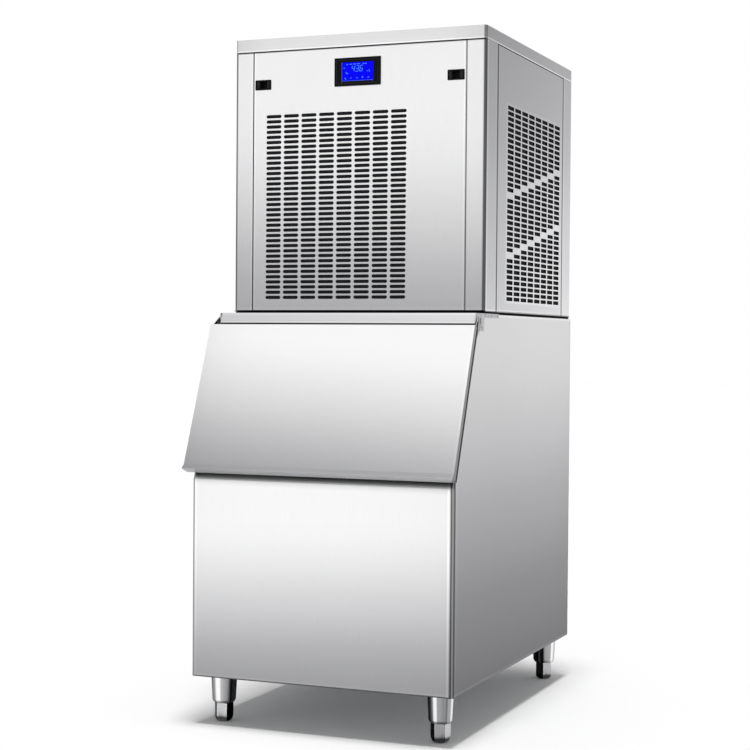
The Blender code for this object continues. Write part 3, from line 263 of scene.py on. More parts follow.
def brushed_stainless(name, front, side, across, along, brushed="Z", tilt=0.0, rows=None, behind=None,
                      painted_web_highlight=None):
    """Brushed 304 stainless: soft sheen, marks one way, painted reflection and shade by place."""
    material, tree, shader = new_material(name, "#c8c8ca", steel_roughness, 1.0,
                                          Specular_Tint=steel_edge_tint)
    place = add_node(tree, "ShaderNodeTexCoord")
    parts = add_node(tree, "ShaderNodeSeparateXYZ", None, Vector=place.outputs["Object"])
    facing = add_node(tree, "ShaderNodeSeparateXYZ", None, Vector=place.outputs["Normal"])
    sideways = add_node(tree, "ShaderNodeMath", {"operation": "ABSOLUTE"}, _0=facing.outputs["X"])
    rise = add_node(tree, "ShaderNodeVectorMath", {"operation": "DOT_PRODUCT"}, _0=place.outputs["Object"],
                    _1=(tilt, 0, 1))
    # Each pair is for the front faces and the side faces: painted greys first, then painted lines.
    pairs = [(ramp_by(tree, rise.outputs["Value"], front), ramp_by(tree, parts.outputs["Z"], side)),
             (ramp_by(tree, parts.outputs["X"], across), ramp_by(tree, parts.outputs["Y"], along))]
    if rows:
        pairs.append((ramp_by(tree, parts.outputs["Z"], rows), no_change))
    if behind:
        depth = add_node(tree, "ShaderNodeVectorMath", {"operation": "DOT_PRODUCT"},
                         _0=place.outputs["Object"], _1=(0, cos(lid_lean), -sin(lid_lean)))
        pairs.append((no_change, ramp_by(tree, depth.outputs["Value"], behind)))
    layers = [add_node(tree, "ShaderNodeMix", {"data_type": "RGBA"}, _0=sideways.outputs[0], _6=on_front,
                       _7=on_side).outputs[2] for on_front, on_side in pairs]
    if painted_web_highlight:
        # A painted highlight on the strips between the slots. Outside the zone this factor is one,
        # and inside it the zone's own share comes on top.
        reach, heights = painted_web_highlight
        inside = add_node(tree, "ShaderNodeVectorMath", {"operation": "MULTIPLY"},
                          _0=ramp_by(tree, parts.outputs["Y"], reach),
                          _1=ramp_by(tree, parts.outputs["Z"], heights))
        gain = add_node(tree, "ShaderNodeVectorMath", {"operation": "MULTIPLY_ADD"}, _0=inside.outputs[0],
                        _1=(2, 2, 2), _2=(0.5, 0.5, 0.5))
        layers.append(gain.outputs[0])
    lined = layered(tree, layers[0], layers[1:])
    fine, coarse = 1 / scratch_width, 1 / scratch_length
    scale = {"X": (coarse, fine, fine), "Z": (fine, fine, coarse)}[brushed]
    stretched = add_node(tree, "ShaderNodeMapping", {"vector_type": "POINT"},
                         Vector=place.outputs["Object"], Scale=scale)
    marks = add_node(tree, "ShaderNodeTexNoise", None, Vector=stretched.outputs[0], Scale=1.0, Detail=3.0,
                     Roughness=0.6)
    strength = add_node(tree, "ShaderNodeMapRange", None, Value=marks.outputs[0], From_Min=0.25,
                        From_Max=0.75, To_Min=1 - scratch_contrast, To_Max=1 + scratch_contrast)
    worked = add_node(tree, "ShaderNodeVectorMath", {"operation": "SCALE"}, _0=lined,
                      Scale=strength.outputs[0])
    tree.links.new(worked.outputs[0], shader.inputs["Base Color"])
    sheen = add_node(tree, "ShaderNodeMapRange", None, Value=marks.outputs[0], From_Min=0.2, From_Max=0.8,
                     To_Min=steel_roughness - 0.04, To_Max=steel_roughness + 0.05)
    tree.links.new(sheen.outputs[0], shader.inputs["Roughness"])
    relief = add_node(tree, "ShaderNodeBump", None, Strength=0.04, Distance=0.0002, Height=marks.outputs[0])
    tree.links.new(relief.outputs[0], shader.inputs["Normal"])
    return material


print("brushing marks", scratch_width * 1000, "mm wide and", scratch_length * 1000, "mm long")

# %% [markdown]
# ### Steel of the head
#
# The head is a frame of four folded posts with panels between them and a cap on top. Its front is
# painted palest near the top, and its side near the foot, as painted reflection. Where two sheets
# meet, each folded edge has a painted highlight, with painted shade at the dark gap between them,
# and the rounded corners are painted dark as painted shade. The lines take their places from the
# boxes of the pieces, so they stay on the folds. Modelled folds alone could show them too, but
# from this far most are thinner than a pixel.

# %% Steel of the head and its cap
head_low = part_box("head_base")[0].z
head_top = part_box("top_cap")[1].z
cap_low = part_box("top_cap")[0].z
head_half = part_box("top_cap")[1].x
head_front, head_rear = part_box("top_cap")[0].y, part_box("top_cap")[1].y
panel_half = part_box("front_panel")[1].x
post_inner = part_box("post_front_right")[0].x

# The plate under the head lies in the joint's shadow. Its edge and the lowest millimetre of the
# panels are the black line of the joint.
panel_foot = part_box("front_panel")[0].z
# Painted reflection: the front is palest near the top.
head_front_greys = [(panel_foot, "#aeaeb0"), (0.895, "#b5b5b7"), (0.947, "#c0c0c2"), (1.000, "#cdcdce"),
                    (1.052, "#d8d8d9"), (1.105, "#e2e2e3"), (1.157, "#eaeaeb"), (1.210, "#efefef"),
                    (1.262, "#f1f1f1"), (head_top, "#f0f0f0")]
# Rows: painted shadow at the joint, a painted highlight just above it, painted shade under the cap.
head_rows = [(head_low, 0.004), (panel_foot + 0.0012, 0.004), (panel_foot + 0.0015, 1.30),
             (panel_foot + 0.0030, 1.30), (panel_foot + 0.0036, 1.08), (panel_foot + 0.0100, 1.0),
             (cap_low - 0.0028, 1.0), (cap_low - 0.0024, 0.03), (cap_low, 0.03)]
# Painted on the side: black in the joint's shadow, a highlight, then reflection darker upward.
head_side_greys = [(head_low, "#08080a"), (panel_foot - 0.0003, "#08080a"), (panel_foot, "#f6f6f6"),
                   (panel_foot + 0.0024, "#f6f6f6"), (panel_foot + 0.0032, "#dcdcde"), (0.921, "#d3d3d5"),
                   (0.981, "#cfcfd1"), (1.041, "#c9c9cb"), (1.101, "#c4c4c6"), (1.161, "#bcbcbe"),
                   (1.221, "#b5b5b7"), (1.281, "#b0b0b2"), (1.341, "#acacae"), (cap_low, "#a9a9ab")]
# Painted across the front: shade on the rounded corners, and highlights beside the gaps.
head_across = [(-head_half, 0.17), (-head_half + 0.0042, 0.20), (-head_half + 0.0054, 1.05),
               (-head_half + 0.0070, 0.96), (-post_inner - 0.004, 0.97), (-post_inner - 0.0036, 1.12),
               (-post_inner - 0.0010, 1.12), (-post_inner - 0.0007, 0.55), (-panel_half + 0.0007, 0.55),
               (-panel_half + 0.0010, 1.12), (-panel_half + 0.0036, 1.12), (-panel_half + 0.0042, 1.0),
               (panel_half - 0.0042, 1.0), (panel_half - 0.0036, 1.13), (panel_half - 0.0010, 1.13),
               (panel_half - 0.0007, 0.55), (post_inner + 0.0009, 0.55), (post_inner + 0.0012, 0.97),
               (head_half - 0.0085, 0.96), (head_half - 0.0066, 0.88), (head_half - 0.0050, 0.16),
               (head_half, 0.14)]
post_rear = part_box("post_front_right")[1].y
post_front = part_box("post_rear_right")[0].y
# Painted along the side: shade on the front corner, highlights by the gaps, paler toward the back.
head_along = [(head_front, 0.16), (head_front + 0.0058, 0.18), (head_front + 0.0068, 1.34),
              (head_front + 0.0120, 1.26), (head_front + 0.0150, 1.03), (post_rear - 0.0100, 1.04),
              (post_rear - 0.0080, 1.14), (post_rear - 0.0046, 1.14), (post_rear - 0.0040, 0.50),
              (post_rear + 0.0052, 0.50), (post_rear + 0.0058, 1.16), (post_rear + 0.0100, 1.12),
              (post_rear + 0.0120, 1.05), (0.10, 1.17), (post_front - 0.0120, 1.31),
              (post_front - 0.0100, 1.56), (post_front - 0.0064, 1.56), (post_front - 0.0058, 0.62),
              (post_front + 0.0040, 0.62), (post_front + 0.0046, 1.62), (post_front + 0.0100, 1.58),
              (post_front + 0.0120, 1.37), (head_rear - 0.006, 1.40), (head_rear, 1.28)]
# The painted ramp of the front leans a little from side to side.
head_tilt = 0.06
head_steel = brushed_stainless("brushed_stainless_head", head_front_greys, head_side_greys, head_across,
                               head_along, tilt=head_tilt, rows=head_rows)
# Painted on the cap: a highlight along its foot, shade on its corners, paler toward the back.
cap_front_greys = [(cap_low, "#ffffff"), (cap_low + 0.0026, "#ffffff"), (cap_low + 0.0032, "#e5e5e6"),
                   (head_top - 0.0010, "#e3e3e4"), (head_top, "#d0d0d2")]
cap_side_greys = [(cap_low, "#dededf"), (cap_low + 0.0022, "#d8d8da"), (cap_low + 0.0030, "#a5a5a7"),
                  (head_top, "#a2a2a4")]
cap_across = [(-head_half, 0.86), (-0.20, 0.98), (0.0, 1.0), (0.20, 0.98), (head_half - 0.0056, 0.88),
              (head_half - 0.0046, 0.28), (head_half, 0.26)]
cap_along = [(head_front, 0.42), (head_front + 0.0052, 0.42), (head_front + 0.0066, 1.0), (head_rear, 1.46)]
cap_steel = brushed_stainless("brushed_stainless_cap", cap_front_greys, cap_side_greys, cap_across,
                              cap_along, brushed="X")
print("head from", round(head_low, 4), "to", round(head_top, 4), "m")

# %% [markdown]
# ### Steel of the bin
#
# The bin has a front panel, two side panels, a curb under the head, and a slanted lid with flared
# edges. The front panel is darkest at its top, in the shade of the lid's lip. A shadow from the
# lamp alone would be softer than that, so the ramp carries it.

# %% Steel of the bin
bin_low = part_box("bin_front")[0].z
bin_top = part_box("bin_back")[1].z
front_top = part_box("bin_front")[1].z
bin_front_y, bin_rear_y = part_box("bin_side_right")[0].y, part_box("bin_side_right")[1].y
bin_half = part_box("bin_side_right")[1].x
front_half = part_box("bin_front")[1].x
lid_low, lid_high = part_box("lid_shell")[0].z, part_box("lid_shell")[1].z
lid_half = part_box("lid_shell")[1].x
even = [(-1.0, 1.0), (1.0, 1.0)]

# Painted reflection: the front is palest near the top and darker toward the foot.
bin_front_greys = [(bin_low, "#9e9ea0"), (0.141, "#a9a9ab"), (0.177, "#b4b4b6"), (0.2125, "#c2c2c4"),
                   (0.248, "#cfcfd1"), (0.284, "#dadadb"), (0.319, "#e5e5e6"), (0.355, "#eeeeef"),
                   (0.390, "#f5f5f5"), (0.426, "#f8f8f8"), (0.530, "#f8f8f8")]
# Painted shadow under the lid's lip, and a painted dark line and highlight on the folded foot.
bin_front_rows = [(bin_low, 0.24), (bin_low + 0.0020, 0.26), (bin_low + 0.0026, 1.18),
                  (bin_low + 0.0044, 1.18), (bin_low + 0.0056, 1.0), (0.486, 1.0), (0.4925, 0.90),
                  (0.4969, 0.73), (0.5013, 0.42), (0.5057, 0.155), (0.5085, 0.06), (0.512, 0.035),
                  (front_top, 0.035)]
# Painted across the front: a dark line and a highlight at each side edge.
bin_front_across = [(-front_half, 0.70), (-front_half + 0.0014, 0.70), (-front_half + 0.0018, 1.08),
                    (-front_half + 0.0050, 1.08), (-front_half + 0.0064, 0.98), (-0.16, 1.0),
                    (0.05, 1.0), (0.20, 0.98), (front_half - 0.0098, 0.96), (front_half - 0.0088, 1.18),
                    (front_half - 0.0046, 1.16), (front_half - 0.0040, 0.12), (front_half, 0.10)]
bin_front_steel = brushed_stainless("brushed_stainless_bin_front", bin_front_greys, bin_front_greys,
                                    bin_front_across, even, tilt=-0.05, rows=bin_front_rows)
# Painted on the side: dark with a highlight at the foot, paler upward, and a highlight at the top.
bin_side_greys = [(bin_low, "#6a6a6c"), (bin_low + 0.0014, "#6a6a6c"), (bin_low + 0.0020, "#94949a"),
                  (bin_low + 0.0042, "#94949a"), (bin_low + 0.0052, "#7c7c7e"), (0.137, "#828284"),
                  (0.200, "#8c8c8e"), (0.277, "#979799"), (0.349, "#a7a7a9"), (0.408, "#b2b2b4"),
                  (0.466, "#bbbbbd"), (0.525, "#c8c8ca"), (0.584, "#d3d3d5"), (0.643, "#dcdcdd"),
                  (0.700, "#e4e4e5"), (0.760, "#e9e9ea"), (bin_top - 0.0034, "#ebebec"),
                  (bin_top - 0.0028, "#ffffff"), (bin_top, "#ffffff")]
# Painted greys on the side panel's front flange, with painted shade and highlights at its edges.
bin_flange_greys = [(bin_low, "#929294"), (0.45, "#a3a3a5"), (bin_top, "#ababad")]
bin_flange_across = [(-bin_half, 0.7), (-front_half, 1.0), (front_half, 0.8), (front_half + 0.0006, 1.05),
                     (bin_half - 0.0010, 1.05), (bin_half - 0.0006, 0.36), (bin_half, 0.30)]
# Painted along the side: shade on the front corner, a highlight beside it, paler toward the back.
bin_side_along = [(bin_front_y, 0.26), (bin_front_y + 0.0070, 0.30), (bin_front_y + 0.0082, 1.16),
                  (bin_front_y + 0.0150, 1.10), (bin_front_y + 0.0190, 0.99), (-0.10, 1.02), (0.10, 1.06),
                  (0.30, 1.08), (bin_rear_y - 0.010, 1.07), (bin_rear_y, 1.04)]
# The lid's front face lies here, measured square to the lid from the origin. Minus is in front.
lid_front_depth = -0.5863
# A painted highlight: a bright line on the side panel right behind the lid's folded edge.
side_behind_lid = [(lid_front_depth - 0.02, 1.0), (lid_front_depth + 0.0195, 1.0),
                   (lid_front_depth + 0.0200, 1.46), (lid_front_depth + 0.0262, 1.40),
                   (lid_front_depth + 0.0290, 1.0), (0.5, 1.0)]
bin_side_steel = brushed_stainless("brushed_stainless_bin_side", bin_flange_greys, bin_side_greys,
                                   bin_flange_across, bin_side_along, behind=side_behind_lid)
print("bin from", round(bin_low, 4), "to", round(bin_top, 4), "m")

# %% [markdown]
# ### Steel of the lid and the curb
#
# The lid is one folded sheet. Its ramps of painted reflection are in its own coordinates, so they
# travel with it when it opens. The dark line of painted shade behind its folded edge leans as the
# lid does, and is laid by the depth behind the lid's face. The curb is low, and needs only its
# painted greys and one painted highlight on its fold.

# %% Steel of the lid and the curb
# Painted reflection: the lid is palest at the top and darker toward its lip.
lid_greys = [(0.485, "#9a9a9c"), (0.521, "#ababad"), (0.549, "#b6b6b8"), (0.577, "#c1c1c3"),
             (0.605, "#cccccd"), (0.633, "#d7d7d8"), (0.661, "#e0e0e1"), (0.689, "#e8e8e9"),
             (0.717, "#efefef"), (0.745, "#f5f5f5"), (0.773, "#f8f8f8"), (0.850, "#f8f8f8")]
# The flared lip looks up at the lid itself, so a painted highlight makes it brighter to look the same.
lid_rows = [(lid_low, 1.9), (lid_low + 0.0022, 1.9), (lid_low + 0.0028, 1.7), (lid_low + 0.0080, 1.7),
            (lid_low + 0.0110, 1.0), (lid_high, 1.0)]
# Painted: greys on the lid's sides, darker to the left across it, a highlight by the right edge.
lid_flange_greys = [(lid_low, "#929294"), (0.70, "#9c9c9e"), (lid_high, "#a8a8aa")]
lid_across = [(-lid_half, 0.90), (-0.26, 0.94), (-0.20, 0.98), (-0.10, 1.0), (lid_half - 0.0046, 1.0),
              (lid_half - 0.0040, 1.12), (lid_half - 0.0008, 1.12), (lid_half, 0.8)]
# The folded edge of the lid is grey in front with a painted highlight, and black behind as painted
# shade, where it nears the bin. The hinge ears reach back beyond that edge, and get a painted
# highlight again.
lid_behind = [(lid_front_depth, 0.90), (lid_front_depth + 0.0050, 0.92), (lid_front_depth + 0.0075, 1.10),
              (lid_front_depth + 0.0108, 1.05), (lid_front_depth + 0.0120, 0.04),
              (lid_front_depth + 0.0204, 0.04), (lid_front_depth + 0.0208, 1.15),
              (lid_front_depth + 0.0600, 1.15)]
lid_steel = brushed_stainless("brushed_stainless_lid", lid_greys, lid_flange_greys, lid_across, even,
                              tilt=0.07, rows=lid_rows, behind=lid_behind)
# Painted shade on the curb's low part by the lid, then a painted highlight band and paler steel.
curb_greys = [(0.7518, "#5a5a5c"), (0.8150, "#5a5a5c"), (0.8156, "#e0e0e1"), (0.8178, "#e0e0e1"),
              (0.8184, "#d4d4d6"), (0.830, "#d6d6d8"), (0.8357, "#e8e8e9")]
# Painted across the curb: a highlight near its right end, and shade on the end itself.
curb_across = [(-bin_half, 0.90), (0.0, 1.0), (bin_half - 0.004, 1.10), (bin_half, 0.6)]
curb_steel = brushed_stainless("brushed_stainless_curb", curb_greys, curb_greys, curb_across, even,
                               brushed="X")
print("lid from", round(lid_low, 4), "to", round(lid_high, 4), "m")

# %% [markdown]
# ## The other finishes
#
# Each material below is named for the real one. Moulded plastic has a faint pebble texture from
# the tool. Galvanised sheet shows the spangle of its zinc crystals. Copper that has been handled
# has darker patches. Rubber and foam are matt. All of them take their patterns from noise at a
# real size, in the piece's own coordinates.

# %% A finish in patches, and a skin over it
def mottled(name, colour, second, roughness, metallic, size, bump, spread, kind="noise", **sockets):
    """A finish that wanders between two near colours, in patches of this size in metres."""
    material, tree, shader = new_material(name, colour, roughness, metallic, **sockets)
    place = add_node(tree, "ShaderNodeTexCoord")
    if kind == "noise":
        pattern = add_node(tree, "ShaderNodeTexNoise", None, Vector=place.outputs["Object"], Scale=1 / size,
                           Detail=4.0, Roughness=0.55)
    else:
        pattern = add_node(tree, "ShaderNodeTexVoronoi", None, Vector=place.outputs["Object"],
                           Scale=1 / size)
    share = add_node(tree, "ShaderNodeMapRange", None, Value=pattern.outputs[0], From_Min=0.3,
                     From_Max=0.7)
    blend = add_node(tree, "ShaderNodeMix", {"data_type": "RGBA"}, _0=share.outputs[0], _6=linear(colour),
                     _7=linear(second))
    tree.links.new(blend.outputs[2], shader.inputs["Base Color"])
    sheen = add_node(tree, "ShaderNodeMapRange", None, Value=share.outputs[0], To_Min=roughness - spread,
                     To_Max=roughness + spread)
    tree.links.new(sheen.outputs[0], shader.inputs["Roughness"])
    relief = add_node(tree, "ShaderNodeBump", None, Strength=bump, Distance=size / 10,
                      Height=pattern.outputs[0])
    tree.links.new(relief.outputs[0], shader.inputs["Normal"])
    return material


def with_skin(material, outward, colour):
    """The same finish, but with a smooth skin of this colour on faces that look this way."""
    tree = material.node_tree
    base = tree.nodes["Principled BSDF"].inputs["Base Color"]
    place = add_node(tree, "ShaderNodeTexCoord")
    facing = add_node(tree, "ShaderNodeVectorMath", {"operation": "DOT_PRODUCT"},
                      _0=place.outputs["Normal"], _1=outward).outputs["Value"]
    share = add_node(tree, "ShaderNodeMapRange", None, Value=facing, From_Min=0.93, From_Max=0.96)
    blend = add_node(tree, "ShaderNodeMix", {"data_type": "RGBA"}, _0=share.outputs[0],
                     _6=base.links[0].from_socket, _7=linear(colour))
    tree.links.new(blend.outputs[2], base)
    return material


print("patterns are drawn at their real size in metres")

# %% Plastics, metals, rubber and foam
# Polished stainless of the hinge, the auger and the inlet: nearly a mirror.
polished_stainless = mottled("polished_stainless_304", "#b4b4b6", "#9e9ea0", 0.20, 1.0, 0.010, 0.01, 0.04)
# Zinc-coated sheet inside the head: dull grey with a spangle of crystals about 12 mm across.
galvanised_sheet = mottled("galvanised_steel", "#9a9da0", "#aeb1b4", 0.48, 1.0, 0.012, 0.02, 0.08, "voronoi")
# Injection-moulded ABS: deep black with a fine pebble from the tool, half a millimetre apart.
black_abs = mottled("moulded_black_abs", "#050505", "#0a0a0b", 0.42, 0.0, 0.0006, 0.06, 0.05,
                    Specular_IOR_Level=0.10)
# The same plastic in a little paler grey, for the bars, the raised line and the screws.
slider_abs = mottled("moulded_slider_abs", "#29292b", "#313133", 0.45, 0.0, 0.0006, 0.06, 0.05,
                     Specular_IOR_Level=0.15)
grey_abs = mottled("moulded_grey_abs", "#7c7e80", "#85878a", 0.5, 0.0, 0.0008, 0.06, 0.05)
# Food-grade polyethylene of the liner: slightly waxy and translucent white.
white_liner = mottled("white_polyethylene", "#e8eae8", "#e1e4e2", 0.42, 0.0, 0.010, 0.03, 0.06)
# Rigid polyurethane foam: cells about 1 mm across, cream to tan. Its rim round the lid's opening
# is sealed with a white skin, as bare foam would soak up water there.
rigid_foam = with_skin(mottled("rigid_polyurethane_foam", "#d9c48f", "#cbb47c", 0.9, 0.0, 0.0012, 0.5,
                               0.05), (0, -cos(lid_lean), sin(lid_lean)), "#dcdedc")
# EPDM seal: matt black rubber.
black_epdm = mottled("black_epdm_rubber", "#070707", "#0c0c0c", 0.80, 0.0, 0.0015, 0.1, 0.05,
                     Specular_IOR_Level=0.08)
# Compressor can: thick gloss enamel with a slight orange peel, about 2 mm across.
black_enamel = mottled("black_gloss_enamel", "#121214", "#161618", 0.22, 0.0, 0.002, 0.08, 0.04)
# Drawn copper tube: bright, with darker handled patches.
drawn_copper = mottled("drawn_copper", "#c47a52", "#a85f3e", 0.28, 1.0, 0.018, 0.02, 0.08)
# Pressure-cast aluminium: pale grey, slightly grainy skin.
cast_aluminium = mottled("cast_aluminium", "#a3a5a7", "#b0b2b4", 0.46, 1.0, 0.0015, 0.2, 0.06)
# Rolled aluminium fin stock.
fin_aluminium = mottled("aluminium_fin_stock", "#b4b7ba", "#a7aaad", 0.40, 1.0, 0.006, 0.03, 0.06)
# Nylon net of the air filters, woven about 1.5 mm apart: dark grey, darkened further as painted shade.
net_and_shade = mottled("nylon_net_and_shade", "#25262a", "#303135", 0.8, 0.0, 0.0015, 0.4, 0.05, "voronoi",
                     Specular_IOR_Level=0.1)
print("thirteen plain finishes")

# %% [markdown]
# ## Finishes on the CAD pieces
#
# A CAD piece whose shape is already right keeps its mesh and only changes its material. Folded
# sheet never has a knife edge: the press leaves a radius of about its own thickness. A weld
# modifier closes the imported corners and a bevel rolls the edges, without touching the mesh
# itself.

# %% Give each CAD node its finish and rolled edges
def set_finish(names, material):
    """Give these nodes this material and no other."""
    for name in names:
        mesh = nodes[name].data
        mesh.materials.clear()
        mesh.materials.append(material)


def bevel_piece(piece, radius, segments=2, angle=50):
    """Round those edges of a piece that turn by more than this angle."""
    rolled = piece.modifiers.new("rolled_edges", "BEVEL")
    rolled.width = radius
    rolled.segments = segments
    rolled.limit_method = "ANGLE"
    rolled.angle_limit = radians(angle)
    rolled.harden_normals = True


def roll_edges(names, radius):
    """Weld the imported corners of these nodes and round their edges."""
    for name in names:
        weld = nodes[name].modifiers.new("welded_corners", "WELD")
        weld.merge_threshold = 0.00002
        bevel_piece(nodes[name], radius)


def named(start):
    """The nodes whose names start this way, in order."""
    return sorted(name for name in nodes if name.startswith(start))


set_finish(named("post_") + named("side_panel") + ["front_panel", "rear_panel", "head_base"], head_steel)
set_finish(["top_cap"], cap_steel)
set_finish(["bin_front"], bin_front_steel)
set_finish(named("bin_side") + ["bin_back"], bin_side_steel)
set_finish(["lid_shell"], lid_steel)
set_finish(["bin_curb"], curb_steel)
set_finish(named("leg_") + named("foot_") + named("hinge_bracket"), polished_stainless)
set_finish(["auger", "water_inlet"], polished_stainless)
set_finish(["bin_floor", "condenser_rest", "fan_shroud", "fan_blade", "reservoir_stand"], galvanised_sheet)
set_finish(["controller_housing", "cable_gland"] + named("latch_cup"), black_abs)
set_finish(named("latch_slider"), slider_abs)
set_finish(["control_box", "float_arm"], grey_abs)
set_finish(["bin_liner", "lid_inner", "reservoir", "ice_chute", "bin_drain"], white_liner)
set_finish(["bin_insulation", "evaporator_barrel"], rigid_foam)
set_finish(["head_gasket", "lid_gasket"], black_epdm)
set_finish(["compressor"], black_enamel)
set_finish(["filter_drier", "discharge_line", "liquid_line", "suction_line"], drawn_copper)
set_finish(["gear_motor", "extruding_head", "fan_motor"], cast_aluminium)
set_finish(["condenser"], fin_aluminium)

roll_edges(["lid_shell", "top_cap", "bin_front", "bin_curb", "rear_panel", "side_panel_left"], 0.0005)
roll_edges(named("post_") + named("bin_side"), 0.0005)
roll_edges(named("hinge_bracket") + ["control_box", "fan_shroud"], 0.0006)
print("finishes set on", len(nodes), "nodes")

# %% [markdown]
# ## Making a piece
#
# The finer pieces are made in mesh code. Each one rides on the body that its solid belongs to,
# and stands for the solid that it replaces.

# %% Helpers for pieces
behaviour = frame["record"]["behaviour"]
body_of_node = {name: body for body, members in behaviour["bodies"].items() for name in members}


def make_piece(name, bm, material, body, replaced=(), smooth_angle=35):
    """A named mesh piece that rides on a body and stands for the solids it replaces."""
    mesh = bpy.data.meshes.new(name)
    bm.to_mesh(mesh)
    bm.free()
    mesh.materials.append(material)
    if smooth_angle:
        mesh.shade_smooth()
        mesh.set_sharp_from_angle(angle=radians(smooth_angle))
    piece = bpy.data.objects.new(name, mesh)
    bpy.context.scene.collection.objects.link(piece)
    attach(piece, body)
    if replaced:
        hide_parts(*replaced)
    return piece


def add_box(bm, low, high):
    """Add a box to a mesh, from its lowest to its highest corner."""
    middle = [(a + b) / 2 for a, b in zip(low, high)]
    size = [b - a for a, b in zip(low, high)]
    bmesh.ops.create_cube(bm, size=1, matrix=Matrix.Translation(middle) @ Matrix.Diagonal((*size, 1)))


def add_lathe(bm, profile, place, axis="Z", steps=48):
    """Turn a closed profile of (radius, height) about an axis through place."""
    turn = {"Z": Matrix(), "X": Matrix.Rotation(pi / 2, 4, "Y"), "-X": Matrix.Rotation(-pi / 2, 4, "Y"),
            "-Y": Matrix.Rotation(pi / 2, 4, "X")}[axis]
    start = Matrix.Translation(place) @ turn
    rings = []
    for radius, height in profile:
        if radius < 1e-6:
            rings.append([bm.verts.new(start @ Vector((0, 0, height)))])
            continue
        angles = [2 * pi * step / steps for step in range(steps)]
        rings.append([bm.verts.new(start @ Vector((radius * cos(a), radius * sin(a), height)))
                      for a in angles])
    for first, second in zip(rings, rings[1:]):
        for s in range(steps):
            following = (s + 1) % steps
            corners = [first[s % len(first)], first[following % len(first)],
                       second[following % len(second)], second[s % len(second)]]
            unique = list(dict.fromkeys(corners))
            if len(unique) > 2:
                bm.faces.new(unique)
    bmesh.ops.recalc_face_normals(bm, faces=bm.faces)


print("bodies:", sorted(set(body_of_node.values())))

# %% [markdown]
# ## Punched grilles
#
# The front slots are punched with a tool that has half-round ends, so that the sheet does not
# tear at a corner. The side slots have squarer ends with a small radius. The CAD model has plain
# level slots to keep its faces few. Here each panel is drawn as one flat outline with all its
# slots in it, filled between the lines, and given its sheet thickness afterwards. Cutting 288
# slots with Booleans would be slower and would leave slivers.

# %% Outlines of holes, and a folded sheet round them
sheet_thickness = 0.0012
fold_depth = 0.014
slot_rows = 36
slot_columns = 8
row_pitch = 0.0107889
slot_height = 0.0070
arc_steps = 5


def obround(centre, half_length, half_height):
    """The outline of a slot with half-round ends, as (across, up) points."""
    points = []
    for side, start in ((1, -pi / 2), (-1, pi / 2)):
        for step in range(arc_steps + 1):
            angle = start + pi * step / arc_steps
            points.append((centre[0] + side * (half_length - half_height) + half_height * cos(angle),
                           centre[1] + half_height * sin(angle)))
    return points


def rectangle(low, high, radius=0.0):
    """The outline of a window, with its corners rounded by a few points."""
    if not radius:
        return [(low[0], low[1]), (high[0], low[1]), (high[0], high[1]), (low[0], high[1])]
    centres = ((high[0] - radius, low[1] + radius, -pi / 2), (high[0] - radius, high[1] - radius, 0),
               (low[0] + radius, high[1] - radius, pi / 2), (low[0] + radius, low[1] + radius, pi))
    return [(x + radius * cos(start + pi / 2 * s / 3), z + radius * sin(start + pi / 2 * s / 3))
            for x, z, start in centres for s in range(4)]


def punched_panel(name, outline, holes, to_space, back, node, material):
    """A folded sheet panel: a flat face with holes, flanges turned back, and a thickness."""
    bm = bmesh.new()
    edges = []
    rim = []
    for place, loop in enumerate([outline] + holes):
        corners = [bm.verts.new(to_space(*point)) for point in loop]
        loop_edges = [bm.edges.new((corners[i - 1], corners[i])) for i in range(len(corners))]
        edges += loop_edges
        if place == 0:
            rim = loop_edges
    bmesh.ops.triangle_fill(bm, use_beauty=True, edges=edges)
    outward = -Vector(back)
    for face in bm.faces:
        if face.normal.dot(outward) < 0:
            face.normal_flip()
    turned_back = bmesh.ops.extrude_edge_only(bm, edges=rim)
    moved = [item for item in turned_back["geom"] if isinstance(item, bmesh.types.BMVert)]
    bmesh.ops.translate(bm, verts=moved, vec=Vector(back) * fold_depth)
    bmesh.ops.bevel(bm, geom=[edge for edge in bm.edges if edge in rim or edge.calc_face_angle(0) > 1.2],
                    offset=0.0011, segments=3, affect="EDGES", clamp_overlap=True)
    panel = make_piece(name, bm, material, body_of_node[node], [node], 0)
    wall = panel.modifiers.new("sheet", "SOLIDIFY")
    wall.thickness = sheet_thickness
    wall.offset = -1.0


print("a round-ended slot has", 2 * (arc_steps + 1), "points")

# %% Front panel with round-ended slots
panel_low, panel_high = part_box("front_panel")
panel_y = panel_low.y
grille_left, grille_low = -0.2060, 0.8655
slot_half = 0.0173
first_slot = grille_left + slot_half
column_pitch = 0.0400
first_row = grille_low + slot_height / 2
slots = [obround((first_slot + column * column_pitch, first_row + row * row_pitch), slot_half,
                 slot_height / 2)
         for column in range(slot_columns) for row in range(slot_rows)]
housing_low, housing_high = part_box("controller_housing")
windows = [rectangle((housing_low.x + 0.004, housing_low.z + 0.004),
                     (housing_high.x - 0.004, housing_high.z - 0.004), 0.002)]
for latch in named("latch_cup"):
    low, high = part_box(latch)
    windows.append(rectangle((low.x + 0.0012, low.z + 0.0012), (high.x - 0.0012, high.z - 0.0012), 0.001))
punched_panel("front_panel_punched", rectangle((panel_low.x, panel_low.z), (panel_high.x, panel_high.z)),
              slots + windows, lambda x, z: (x, panel_y, z), (0, 1, 0), "front_panel", head_steel)
print(len(slots), "front slots and", len(windows), "windows")

# %% [markdown]
# ### Side grille
#
# The side grille leaves two rising lines of slots unpunched. Its slots are squarer than the front
# ones and lie a little further apart. Punching presses the strips between the slots a little, so
# they would catch more light than flat sheet. The panel gets its own steel with a painted
# highlight, brighter in just that zone, because strips bent one by one would cost many faces for
# the same look.

